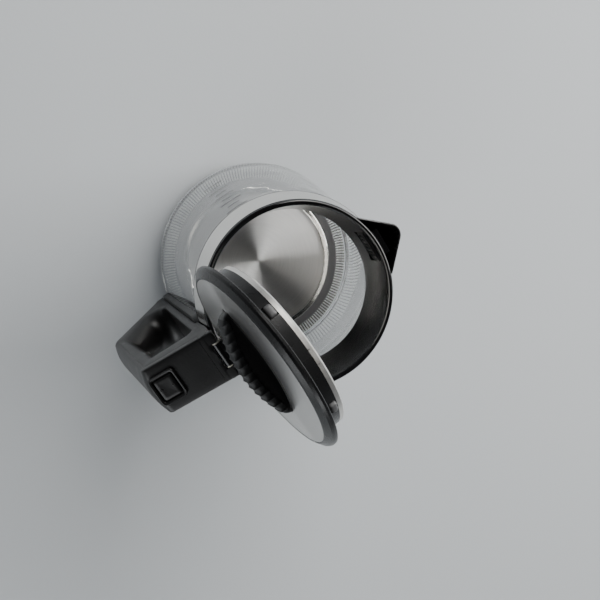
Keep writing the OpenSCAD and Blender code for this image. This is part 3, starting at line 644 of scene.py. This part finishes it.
# ---------- spout ----------
def spout_line(reach, half, tip_r, root_x, collar_r, inset, side_steps=9, tip_steps=20):
    """Plan of the spout at one height, from the collar round the tip and back."""
    half, radius = half - inset, tip_r - inset
    centre = reach - tip_r
    dx, dy = root_x - centre, half
    lean = math.atan2(dy, dx) - math.acos(radius / math.hypot(dx, dy))
    touch = (centre + radius * math.cos(lean), radius * math.sin(lean))

    def along(t):
        """Point on the straight side, from its root to where the tip's arc begins."""
        return root_x + (touch[0] - root_x) * t, half + (touch[1] - half) * t

    # The side starts where it leaves the collar's wall.
    tries = [k / 200 for k in range(200)]
    start = next((t for t in tries if math.hypot(*along(t)) >= collar_r), 0.0)
    side = [along(start + (1 - start) * k / side_steps) for k in range(side_steps)]
    angles = [lean - 2 * lean * k / tip_steps for k in range(tip_steps + 1)]
    arc = [(centre + radius * math.cos(a), radius * math.sin(a)) for a in angles]
    return side + arc + [(x, -y) for x, y in reversed(side)]


class KETTLE_OT_spout(Operator):
    """Builds the spout with its ribbed trough."""

    bl_idname = "kettle.spout"
    bl_label = "Spout"

    # Depth below the rim, reach past the mouth, half width at the root and tip radius, in millimetres.
    STATIONS = (
        (0.0, 17.0, 21.5, 7.0), (7.0, 15.6, 21.0, 7.5),
        (25.0, 8.0, 20.0, 9.0), (27.0, 6.4, 18.5, 9.0),
    )
    FLOOR = 27.0
    TROUGH_FLOOR = 24.0
    ROOT_X = MOUTH_R - 3.3
    LIP_X = MOUTH_R - 4.0
    LIP_SLOPE = math.tan(math.radians(8))
    # Levels of the wall between the floor and the lip, each with its inset from the outline.
    UNDERSIDE = ((0.6, 0.0), (0.3, 0.02), (0.0, 0.04))
    LIP_ROUND = ((0.0, 0.965), (0.3, 0.992))
    # Ribs, by their place along the wall's line, counted in its points from the collar.
    RIB_PLACES = (6.0, 7.6, 9.0, 10.6)
    RIB_R = 0.75 * MM
    RIB_TOP = 0.93

    def plan(self, depth, inset):
        """Outline of the spout at a depth below the rim, in metres."""
        for (above, *a), (below, *b) in zip(self.STATIONS, self.STATIONS[1:]):
            if depth <= below:
                t = (depth - above) / (below - above)
                reach, half, tip = (p + (q - p) * t for p, q in zip(a, b))
                break
        wall_r = MOUTH_R - 0.2 + max(0.0, depth - COLLAR_LIP) * COLLAR_LEAN
        line = spout_line(MOUTH_R + reach, half, tip, self.ROOT_X, wall_r, inset)
        return to_metres((x, y, RIM - depth) for x, y in line)

    def lip_depth(self, x):
        """Depth of the sloping lip below the rim, at a distance in metres from the kettle's axis."""
        return 0.5 + max(0.0, x / MM - self.LIP_X) * self.LIP_SLOPE

    def wall_ring(self, inset, share, floor):
        """One level of the wall, at a share of the way from the floor up to the lip."""
        ring = []
        for index, guess in enumerate(self.plan(2.0, inset)):
            depth = floor + (self.lip_depth(guess[0]) - floor) * share
            ring.append(self.plan(max(0.0, depth), inset)[index])
        return ring

    def execute(self, context):
        wall = context.scene.kettle_sizes.spout_wall / MM
        levels = 8
        outside = self.UNDERSIDE + tuple((0.0, k / levels) for k in range(1, levels)) + self.LIP_ROUND
        rings = [self.wall_ring(inset, share, self.FLOOR) for inset, share in outside + ((wall / 2, 1.0),)]
        rings.append(self.wall_ring(wall - 0.3, 0.992, self.FLOOR))
        rings += [self.wall_ring(wall, 1 - k / levels, self.TROUGH_FLOOR) for k in range(1, levels + 1)]
        vertices, faces = flat(rings), skin(rings, close_ring=False)
        lines = [self.wall_ring(wall, share, self.TROUGH_FLOOR) for share in (0.0, self.RIB_TOP)]
        for place in self.RIB_PLACES:
            index = int(place)
            for mirror in (1, -1):
                rib = []
                for line in lines:
                    end = Vector(line[index]).lerp(Vector(line[index + 1]), place - index)
                    rib.append(disc_ring(end.x, end.y * mirror, end.z, self.RIB_R, 10))
                add_part(vertices, faces, flat(rib), skin(rib))
        make_piece("spout_shell", vertices, faces, soft_gloss_abs, "jug", "gloss_black", "spout", 40)
        coat(spout_grille=gloss_abs)
        return {"FINISHED"}


class KETTLE_OT_filter(Operator):
    """Finishes the filter cassette and its wire cloth."""

    bl_idname = "kettle.filter"
    bl_label = "Filter"

    def execute(self, context):
        coat(filter_frame=satin_pp, filter_mesh=woven_mesh)
        return {"FINISHED"}


# ---------- handle, in millimetres ----------
HUB_X = -57.5  # front of the hub's ears
COVER_HUB_X = -67.3  # where the cover starts on the hub
COVER_GRIP_Z = 78.0  # where the cover ends on the grip
SEAM_GAP = 0.12
LINE_STEP = 1.5  # spacing of points along the outline
CORNER_STEPS = 12


def handle_outline():
    """Side view of the handle in millimetres, from the hub's top round to the foot, and its rounds."""
    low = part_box("handle_shell")[0]
    grip_x, foot_z = low.x / MM - 0.86, low.z / MM
    points = [(HUB_X, RIM + 12.5), (-110.3, RIM - 2), (grip_x, 70.0), (-90.0, foot_z), (-66.0, foot_z)]
    return points, [0, 8, 14, 4, 0]


def glass_r(z):
    """Radius of the glass's cone at a height, in millimetres."""
    slope = (FOOT_R - GLASS_TOP_R) / (RIM - COLLAR_H - GLASS_FOOT_Z)
    return FOOT_R - (z - GLASS_FOOT_Z) * slope


def hole_outline():
    """Side view of the gap for the fingers, and its rounds."""
    plate = 7.9
    top_z, low_z = RIM - 16, 34.0
    top, low = (-glass_r(top_z) - plate, top_z), (-glass_r(low_z) - plate, low_z)
    return [top, (-93.8, RIM - 18.5), (-113.8, 85.0), low], [6, 7, 12, 9]


def front_r(z):
    """Radius of the handle's face towards the jug at a height, in millimetres."""
    if z > RIM + 5:
        return MOUTH_R + 2.8
    if z > RIM - 31:
        return MOUTH_R + 0.7 + max(0.0, RIM - COLLAR_LIP - z) * COLLAR_LEAN
    return min(FOOT_R, glass_r(z)) + 4.4


def across_stations(half, edge, edge_steps=4, crown_steps=5):
    """Stations across the handle with the edge round's inset at each, in millimetres."""
    inner = half - edge
    angles = [math.pi / 2 * k / edge_steps for k in range(edge_steps + 1)]
    side = [(-inner - edge * math.cos(a), edge * (1 - math.sin(a))) for a in angles]
    middle = [(-inner + inner * k / crown_steps, 0.0) for k in range(1, 2 * crown_steps)]
    return side + middle + [(-y, inset) for y, inset in reversed(side)]


def outward_sign(points):
    """Sign that turns a closed line's left normals outwards."""
    area = sum(a[0] * b[1] - b[0] * a[1] for a, b in zip(points, points[1:] + points[:1]))
    return -1 if area > 0 else 1


def handle_rings(points, marks, sign, sizes):
    """Side-view line carried across the handle, each stretch shaped by its mark."""
    half, edge = sizes.handle_width / MM / 2, sizes.edge_round / MM
    seam_sink, seam_share = 0.35, 0.7
    rings = []
    for y, inset in across_stations(half, edge):
        ring = []
        for i, (x, z) in enumerate(points):
            if marks[i] == "front":
                radius = front_r(z) + inset * 0.5
                ring.append((-math.sqrt(max(1.0, radius * radius - y * y)), y, z))
                continue
            normal = outward(points, marks, i) * sign
            move = inset
            if marks[i] == "outer":
                # The grip's outer face falls away towards the sides.
                move += sizes.grip_crown / MM * max(0.0, -normal.x) ** 2 * (abs(y) / half) ** 2.2
            if marks[i] == "hole":
                # The grip's inner face is rounded like half an ellipse.
                facing = max(0.0, normal.x * 0.79 + normal.y * 0.61)
                move += sizes.hole_crown / MM * facing * (1 - math.sqrt(1 - (y / half) ** 2))
            if marks[i] == "seam":
                move = seam_sink if inset > edge * seam_share else 0.0
            ring.append((x - normal.x * move, y, z - normal.y * move))
        rings.append(to_metres(ring))
    return rings


def end_cap(*outlines):
    """Flat face inside one closed line, with a hole where there is a second."""
    cap = bmesh.new()
    for outline in outlines:
        made = [cap.verts.new(point) for point in outline]
        for a, b in zip(made, made[1:] + made[:1]):
            cap.edges.new((a, b))
    bmesh.ops.triangle_fill(cap, edges=cap.edges, use_beauty=True)
    cap.verts.index_update()
    vertices = [tuple(v.co) for v in cap.verts]
    faces = [tuple(v.index for v in f.verts) for f in cap.faces]
    cap.free()
    return vertices, faces


def loft_across(line, marks, sizes, hole=None):
    """Closed body from a side-view line, and a hole in it, carried across the handle."""
    tubes = [handle_rings(line, marks, outward_sign(line), sizes)]
    if hole:
        tubes.append(handle_rings(hole, ["hole"] * len(hole), -outward_sign(hole), sizes))
    vertices, faces = [], []
    for rings in tubes:
        add_part(vertices, faces, flat(rings), skin(rings, cap=False))
    for end in (0, -1):
        add_part(vertices, faces, *end_cap(*(rings[end] for rings in tubes)))
    return vertices, faces


def stretch(line, hub, low):
    """The part of an outline from the hub's end, along the arm, to a height on the grip."""
    arm_z, grip_x = 150, -100
    points = dense(line, LINE_STEP)
    kept = [p for p in points if p[0] < hub and p[1] > low and (p[0] < grip_x or p[1] > arm_z)]
    (x0, z0), (x1, z1) = line[0], line[1]
    head = (hub, z0 + (z1 - z0) * (hub - x0) / (x1 - x0))
    (x0, z0), (x1, z1) = kept[-2], kept[-1]
    tail = (x1 + (x1 - x0) * (low - z1) / (z1 - z0), low)
    return [head] + kept + [tail]


def arm_top(x):
    """Height of the arm's top face, in millimetres."""
    (x0, z0), (x1, z1) = handle_outline()[0][:2]
    return z0 + (z1 - z0) * (x - x0) / (x1 - x0)


class KETTLE_OT_handle(Operator):
    """Builds the handle's shell and cover, and finishes its plate on the jug."""

    bl_idname = "kettle.handle"
    bl_label = "Handle"

    SEAM_ROUNDS = (0, 3, 8, 1, 0)
    HUB_TOP_X = (-63.1, -65.1)
    GRIP_INNER_X = -84
    EAR_X = -63.6
    EAR_INNER_Y = 9.1
    EAR_ROUNDS = (1.2, 0, 0, 0.6)
    # Distance from the ear's outer side, and inset of its outline there.
    EAR_EDGE = ((1.3, 0.0), (0.65, 0.17), (0.17, 0.65), (0.0, 1.3))

    def seam(self, depth, hub, low):
        """The cover's seam at a depth under the handle's outline."""
        line = rounded_outline(inset_outline(handle_outline()[0], depth), self.SEAM_ROUNDS, CORNER_STEPS)
        return stretch(line, hub, low)

    def front(self, foot_z, top_z):
        """The face towards the jug, from the foot up to the arm's top."""
        spacing = 2.0
        count = int((top_z - 0.4 - foot_z) / spacing) + 1
        heights = [foot_z + spacing * k for k in range(count)]
        return [(-front_r(z), z) for z in heights] + [(-front_r(top_z), top_z - 0.2)]

    def ears(self, half):
        """The two blocks that carry the hinge pin's ends."""
        low = RIM + 5.2
        top = [(x, arm_top(x)) for x in (HUB_X, self.EAR_X)]
        outline = top + [(self.EAR_X, low), (HUB_X, low)]
        stations = [(self.EAR_INNER_Y, 0.4), (self.EAR_INNER_Y + 0.4, 0.0)]
        stations += [(half - back, inset) for back, inset in self.EAR_EDGE]
        for side in (-1, 1):
            rings = []
            for y, inset in stations:
                ring = rounded_outline(inset_outline(outline, inset), self.EAR_ROUNDS, 6)
                rings.append(to_metres((x, side * y, z) for x, z in ring))
            yield flat(rings), skin(rings)

    def execute(self, context):
        sizes = context.scene.kettle_sizes
        depth = sizes.cover_depth / MM
        points, rounds = handle_outline()
        outline = rounded_outline(points, rounds, CORNER_STEPS)

        top = stretch(outline, COVER_HUB_X, COVER_GRIP_Z)
        seam = self.seam(depth, COVER_HUB_X, COVER_GRIP_Z)
        marks = ["outer"] * len(top) + ["seam"] * len(seam)
        vertices, faces = loft_across(top + seam[::-1], marks, sizes)
        make_piece("handle_cover_shell", vertices, faces, satin_pp, "jug", "satin_black", "handle_cover")

        hub_x, grip_z = COVER_HUB_X + SEAM_GAP, COVER_GRIP_Z - SEAM_GAP
        hub_top = [(x, arm_top(x)) for x in (*self.HUB_TOP_X, hub_x)]
        seam = self.seam(depth + SEAM_GAP, hub_x, grip_z)
        grip_low = [stretch(outline, COVER_HUB_X, grip_z)[-1]]
        below = [p for p in dense(outline, LINE_STEP) if p[1] < COVER_GRIP_Z - 0.5]
        grip_low += [p for p in below if p[0] < self.GRIP_INNER_X]
        front = self.front(points[-1][1], hub_top[0][1])
        marks = []
        for mark, part in (("outer", hub_top), ("seam", seam), ("outer", grip_low), ("front", front)):
            marks += [mark] * len(part)
        hole = rounded_outline(*hole_outline(), CORNER_STEPS)
        hole = dense(hole + hole[:1], 3.0)[:-1]
        vertices, faces = loft_across(hub_top + seam + grip_low + front, marks, sizes, hole)
        for ear in self.ears(sizes.handle_width / MM / 2):
            add_part(vertices, faces, *ear)
        make_piece("handle_body", vertices, faces, satin_pp, "jug", "satin_black", "handle_shell")
        coat(handle_mount=satin_pp, handle_screws=zinc_plate)
        return {"FINISHED"}


# ---------- switch ----------
def switch_place():
    """Matrix from the switch's own axes, on the arm's surface, to the kettle's."""
    (x0, z0), (x1, z1) = handle_outline()[0][:2]
    fall = math.atan2(z0 - z1, x0 - x1)
    pin = Vector(JOINTS["switch_tilt"]["pos_m"])
    return Matrix.Translation(pin) @ Matrix.Rotation(-fall, 4, "Y") @ Matrix.Translation((0, 0, 3.4 * MM))


def rect_ring(length, width, corner, z, steps=6):
    """Rounded rectangle at a height, given in millimetres and made in metres."""
    ring = []
    for sx, sy, first in ((1, 1, 0), (-1, 1, 90), (-1, -1, 180), (1, -1, 270)):
        for k in range(steps + 1):
            a = math.radians(first + 90 * k / steps)
            x = sx * (length / 2 - corner) + corner * math.cos(a)
            y = sy * (width / 2 - corner) + corner * math.sin(a)
            ring.append((x * MM, y * MM, z * MM))
    return ring


class KETTLE_OT_switch(Operator):
    """Builds the switch frame and its rocker, and finishes the switchgear in the arm."""

    bl_idname = "kettle.switch"
    bl_label = "Switch"

    # Length, width, corner radius and height of each level, in millimetres.
    FRAME_LEVELS = (
        (17.6, 19.6, 2.4, -3.9), (17.6, 19.6, 2.4, -0.2), (18.4, 20.6, 3.0, 0.2),
        (18.2, 20.4, 3.0, 1.2), (17.4, 19.6, 2.6, 1.7), (16.2, 17.6, 2.0, 1.7),
        (15.2, 16.3, 1.8, 1.2), (14.9, 15.9, 1.6, 0.4), (14.9, 15.9, 1.6, -3.9),
    )
    KEY_LEVELS = (
        (9.0, 14.6, 1.0, -4.6), (13.4, 14.9, 1.2, -3.4), (13.9, 15.0, 1.4, -1.6),
        (13.6, 14.9, 1.4, -0.2), (12.8, 14.5, 1.4, 0.9), (11.6, 13.6, 1.2, 1.4),
        (8.0, 10.0, 1.0, 1.25), (2.0, 3.0, 0.6, 1.1),
    )
    STEM_LEVELS = ((3.0, 5.0, 0.5, -8.5), (3.0, 5.0, 0.5, -4.0))
    # Radius and height of each level of the two raised dots, and their distance from the middle.
    DOT_LEVELS = ((1.0, 1.2), (1.0, 1.55), (0.75, 1.6), (0.6, 1.35))
    DOT_X = 4.4

    def execute(self, context):
        place = switch_place()
        rings = [rect_ring(*level) for level in self.FRAME_LEVELS + self.FRAME_LEVELS[:1]]
        faces = skin(rings, cap=False)
        make_piece(
            "switch_frame", flat(rings), faces, satin_pp, "jug", "gloss_black", "switch_bezel", 50, place
        )
        parts = [[rect_ring(*level) for level in self.KEY_LEVELS]]
        for x in (-self.DOT_X, self.DOT_X):
            parts.append([disc_ring(x * MM, 0.0, z * MM, radius * MM, 16) for radius, z in self.DOT_LEVELS])
        parts.append([rect_ring(*level) for level in self.STEM_LEVELS])
        vertices, faces = [], []
        for rings in parts:
            add_part(vertices, faces, flat(rings), skin(rings))
        make_piece(
            "switch_key", vertices, faces, satin_pp, "rocker", "satin_black", "switch_rocker", 50, place
        )
        coat(
            rocker_pin=zinc_plate, trip_lever=ivory_nylon, lever_pin=zinc_plate,
            steam_disc=stamped_bimetal, microswitch=satin_pp, switch_spring=zinc_plate,
            steam_tube=ivory_nylon,
        )
        return {"FINISHED"}


# ---------- lid ----------
def lid_open_place():
    """Matrix that turns a piece drawn on the closed lid to the open rest pose."""
    joint = JOINTS["lid_hinge"]
    limits = joint.get("range_deg") or [math.degrees(a) for a in joint["range"]]
    pivot = Vector(joint["pos_m"])
    turn = Matrix.Rotation(math.radians(-limits[0]), 4, Vector(joint["axis"]))
    return Matrix.Translation(pivot) @ turn @ Matrix.Translation(-pivot)


def closed_points(node):
    """A lid node's points with the lid closed."""
    back = lid_open_place().inverted()
    return [back @ v.co for v in frame["nodes"][node].data.vertices]


class KETTLE_OT_lid(Operator):
    """Finishes the lid's ring, plates, screws and hinge."""

    bl_idname = "kettle.lid"
    bl_label = "Lid"

    def execute(self, context):
        coat(
            lid_ring=soft_gloss_abs, lid_top_plate=lid_steel, lid_under_plate=soft_steel,
            lid_screws=zinc_plate, hinge_pin=zinc_plate, hinge_washers=ivory_nylon,
        )
        return {"FINISHED"}


def lens_ring(length, width, z, count=96):
    """Oval of two arcs with rounded ends, from its half length along Y and its half width."""
    big = (length * length + width * width) / (2 * width)
    end_power = 14
    ring = []
    for k in range(count):
        a = FULL_TURN * k / count
        direction = Vector((math.cos(a), math.sin(a)))
        centre_x = big - width if direction.x < 0 else width - big
        b = -direction.x * centre_x
        reach = -b + math.sqrt(max(0.0, b * b - centre_x * centre_x + big * big))
        reach = 1 / (1 / reach**end_power + 1 / length**end_power) ** (1 / end_power)
        ring.append((reach * direction.x * MM, reach * direction.y * MM, z))
    return ring


def mirrored(side):
    """A section's left half, as (x, z) points from the bottom up, with its right half."""
    return side + [(-x, z) for x, z in reversed(side) if x != 0]


class KETTLE_OT_lid_grip(Operator):
    """Builds the finger well, the bar across it and the ribbed rubber on the bar."""

    bl_idname = "kettle.lid_grip"
    bl_label = "Lid grip"

    # Inset from the well's outline, and height above the plate, from the outside over the lip to the floor.
    WELL = (
        (1.1, -6.4), (0.4, -5.6), (0.0, 0.0), (0.0, 0.25), (0.35, 0.45), (0.9, 0.45), (1.3, 0.2),
        (2.0, -1.6), (3.0, -3.4), (5.5, -4.6), (9.0, -5.1), (13.0, -5.2),
    )
    FLOOR = -5.2
    BAR_HALF = 5.6
    BAR_STEPS = 48
    END_RISE = 3.0
    END_ROUND = 2.2
    RIB_STEPS = 8
    STRIP_MARGIN = 2.6

    def bar_top(self, y, rise, half_length):
        """Height of the bar's arch above the plate, at a distance from its middle."""
        arch = rise - self.END_RISE
        radius = (half_length**2 + arch**2) / (2 * arch)
        return rise - radius + math.sqrt(max(0.0, radius * radius - y * y))

    def bar_section(self, y, rise, half_length):
        """Section of the bar, which narrows and sinks at its ends."""
        ends = min(1.0, (half_length - abs(y)) / self.END_ROUND) ** 0.5
        half = self.BAR_HALF * (0.45 + 0.55 * ends)
        z = self.FLOOR + (self.bar_top(y, rise, half_length) - self.FLOOR) * (0.5 + 0.5 * ends)
        flank = [(-half - 0.9, self.FLOOR), (-half - 0.3, -2.0), (-half, z - 1.6)]
        return mirrored(flank + [(-half + 0.5, z - 0.5), (-half + 1.5, z)])

    def strip_section(self, y, swell, rise, half_length):
        """Section of the rubber strip, which swells at each rib."""
        z = self.bar_top(y, rise, half_length)
        half = self.BAR_HALF + 0.1 + swell * 0.8
        low = z - 4.6 + 0.7 * max(0.0, abs(y) - half_length + 7.0)
        shoulder = z - 0.3 + swell * 0.6
        flank = [(-half + 0.5, low), (-half, low + 0.5), (-half, z - 1.4), (-half + 0.5, shoulder)]
        return mirrored(flank + [(-half + 1.6, z + swell), (0.0, z + swell * 1.05)])

    def execute(self, context):
        sizes = context.scene.kettle_sizes
        place = lid_open_place()
        top = max(p.z for p in closed_points("lid_top_plate"))
        grip = closed_points("lid_grip")
        length, width = max(p.y for p in grip) / MM, max(p.x for p in grip) / MM
        rise = sizes.bar_rise / MM

        well = self.WELL + ((width - 2.0, self.FLOOR),)
        rings = [lens_ring(length - inset, width - inset, top + z * MM) for inset, z in well]
        vertices, faces = flat(rings), skin(rings)
        half_length = length - 1.5
        bar = []
        for k in range(self.BAR_STEPS + 1):
            y = (half_length - 0.3) * (2 * k / self.BAR_STEPS - 1)
            bar.append([(x * MM, y * MM, top + z * MM) for x, z in self.bar_section(y, rise, half_length)])
        add_part(vertices, faces, flat(bar), skin(bar))
        black = (satin_pp, "lid", "satin_black")
        make_piece("grip_well_and_bar", vertices, faces, *black, "lid_grip", 40, place)

        strip = []
        steps = sizes.pad_ribs * self.RIB_STEPS
        span = half_length - self.STRIP_MARGIN
        for k in range(steps + 1):
            y = -span + 2 * span * k / steps
            wave = abs(math.cos(math.pi * k / self.RIB_STEPS)) ** 0.7
            swell = 0.05 if k in (0, steps) else 0.25 + 0.85 * (1 - wave)
            section = self.strip_section(y, swell, rise, half_length)
            strip.append([(x * MM, y * MM, top + z * MM) for x, z in section])
        rubber = (ribbed_rubber, "lid", "rubber_black")
        make_piece("grip_strip", flat(strip), skin(strip), *rubber, "grip_pad", 50, place)
        return {"FINISHED"}


class KETTLE_OT_catches(Operator):
    """Builds the two catches that hold the lid shut."""

    bl_idname = "kettle.catches"
    bl_label = "Lid catches"

    LENGTH = 4.6
    WIDTH = 7.0
    CORNER = 1.3
    ANGLE = 35
    # Distance of each level from the catch's tip, and how much its outline shrinks there, in millimetres.
    LEVELS = ((-6.6, 0.0), (-1.4, 0.0), (-0.7, 0.25), (-0.25, 0.8), (-0.05, 1.5))

    def execute(self, context):
        place = lid_open_place()
        for name, side in (("left", 1), ("right", -1)):
            node = "snap_tab_" + name
            points = closed_points(node)
            heights = [p.z for p in points]
            middle_z = (min(heights) + max(heights)) / 2
            reach = max(p.xy.length for p in points)
            rings = []
            for out, trim in self.LEVELS:
                corner = self.CORNER - trim * 0.6
                ring = rect_ring(self.LENGTH - 2 * trim, self.WIDTH - 2 * trim, corner, 0.0, 5)
                rings.append([(reach + out * MM, y, middle_z + x) for x, y, _ in ring])
            turn = Matrix.Rotation(math.radians(self.ANGLE * side), 4, "Z")
            body = "catch_" + name
            faces = skin(rings)
            make_piece(body, flat(rings), faces, grey_acetal_painted_reflection, body, "satin_black", node, 60, place @ turn)
        return {"FINISHED"}


# ---------- stage ----------
def add_object(name, data):
    """Puts a new object into the scene."""
    item = bpy.data.objects.new(name, data)
    bpy.context.scene.collection.objects.link(item)
    return item


class KETTLE_OT_stage(Operator):
    """Sets out the floor, the soft lights and the camera."""

    bl_idname = "kettle.stage"
    bl_label = "Stage"

    FLOOR_REACH = 1.7
    # Name, place, aim, width and height in metres, power in watts, and colour of each light.
    LIGHTS = (
        ("key_window", (1.506, 0.306, 1.117), (0.0, 0.0, 0.1), (3.0, 1.2), 92.0, (1.0, 0.99, 0.97)),
        ("side_card", (-1.5, -0.9, 0.8), (-0.1, 0.0, 0.0), (1.8, 1.0), 17.0, (0.95, 0.98, 1.0)),
    )
    # Place in metres and turns in degrees.
    CAMERA_PLACE = (-0.0377, 0.1297, 0.7069)
    CAMERA_TURN = (-10.115, -11.357, -32.42)

    def lay_floor(self, look):
        mesh = bpy.data.meshes.new("floor")
        reach = self.FLOOR_REACH
        corners = [(-reach, -reach, 0), (reach, -reach, 0), (reach, reach, 0), (-reach, reach, 0)]
        mesh.from_pydata(corners, [], [(0, 1, 2, 3)])
        # Seamless paper: matt, pale and even.
        values = {"Base Color": look.floor, "Roughness": 0.9, "Specular IOR Level": 0.1}
        paper, tree, shader = start_material("paper_backdrop", values)
        surface(tree, shader, grain(tree, 2 * MM, 2.0), relief=0.05 * MM)
        mesh.materials.append(paper)
        add_object("floor", mesh)

    def light_room(self, scene):
        """The room is pale at the sides and dark overhead."""
        world = bpy.data.worlds.new("studio")
        scene.world = world
        world.use_nodes = True
        tree = world.node_tree
        direction = add_node(tree, "ShaderNodeTexCoord").outputs["Generated"]
        parts = add_node(tree, "ShaderNodeSeparateXYZ", None, {0: direction})
        ramp = add_node(tree, "ShaderNodeValToRGB", None, {0: parts.outputs[2]})
        tones = ((0.0, (0.5, 0.52, 0.54, 1)), (0.75, (0.02, 0.02, 0.022, 1)))
        for element, (position, colour) in zip(ramp.color_ramp.elements, tones):
            element.position = position
            element.color = colour
        background = tree.nodes["Background"]
        background.inputs["Strength"].default_value = 0.5
        tree.links.new(ramp.outputs[0], background.inputs["Color"])

    def add_light(self, name, place, aim, size, watts, colour):
        data = bpy.data.lights.new(name, "AREA")
        data.shape = "RECTANGLE"
        data.size, data.size_y = size
        data.energy = watts
        data.color = colour
        light = add_object(name, data)
        light.location = place
        light.rotation_euler = (Vector(aim) - Vector(place)).to_track_quat("-Z", "Y").to_euler()

    def set_camera(self, scene):
        data = bpy.data.cameras.new("camera")
        data.lens = 50.0
        data.sensor_width = 36.0
        camera = add_object("camera", data)
        camera.location = self.CAMERA_PLACE
        camera.rotation_euler = [math.radians(angle) for angle in self.CAMERA_TURN]
        scene.camera = camera

    def execute(self, context):
        scene = context.scene
        self.lay_floor(scene.kettle_look)
        self.light_room(scene)
        for light in self.LIGHTS:
            self.add_light(*light)
        self.set_camera(scene)
        return {"FINISHED"}


class KETTLE_PT_panel(Panel):
    """Lists the kettle's build steps."""

    bl_idname = "KETTLE_PT_panel"
    bl_label = "Electric kettle"
    bl_space_type = "VIEW_3D"
    bl_region_type = "UI"
    bl_category = "Kettle"

    def draw(self, context):
        for step in STEPS:
            self.layout.operator(step.bl_idname)
        for group in (context.scene.kettle_sizes, context.scene.kettle_look):
            for name in group.__annotations__:
                self.layout.prop(group, name)


STEPS = (
    KETTLE_OT_glass_jug,
    KETTLE_OT_heater,
    KETTLE_OT_clear_ring,
    KETTLE_OT_base,
    KETTLE_OT_collar,
    KETTLE_OT_spout,
    KETTLE_OT_filter,
    KETTLE_OT_handle,
    KETTLE_OT_switch,
    KETTLE_OT_lid,
    KETTLE_OT_lid_grip,
    KETTLE_OT_catches,
    KETTLE_OT_stage,
)
CLASSES = (KettleSizes, KettleLook) + STEPS + (KETTLE_PT_panel,)


def register():
    for cls in CLASSES:
        bpy.utils.register_class(cls)
    bpy.types.Scene.kettle_sizes = PointerProperty(type=KettleSizes)
    bpy.types.Scene.kettle_look = PointerProperty(type=KettleLook)


def unregister():
    del bpy.types.Scene.kettle_look
    del bpy.types.Scene.kettle_sizes
    for cls in reversed(CLASSES):
        bpy.utils.unregister_class(cls)


def main():
    register()
    bpy.ops.kettle.glass_jug()
    bpy.ops.kettle.heater()
    bpy.ops.kettle.clear_ring()
    bpy.ops.kettle.base()
    bpy.ops.kettle.collar()
    bpy.ops.kettle.spout()
    bpy.ops.kettle.filter()
    bpy.ops.kettle.handle()
    bpy.ops.kettle.switch()
    bpy.ops.kettle.lid()
    bpy.ops.kettle.lid_grip()
    bpy.ops.kettle.catches()
    bpy.ops.kettle.stage()


if __name__ == "__main__":
    main()
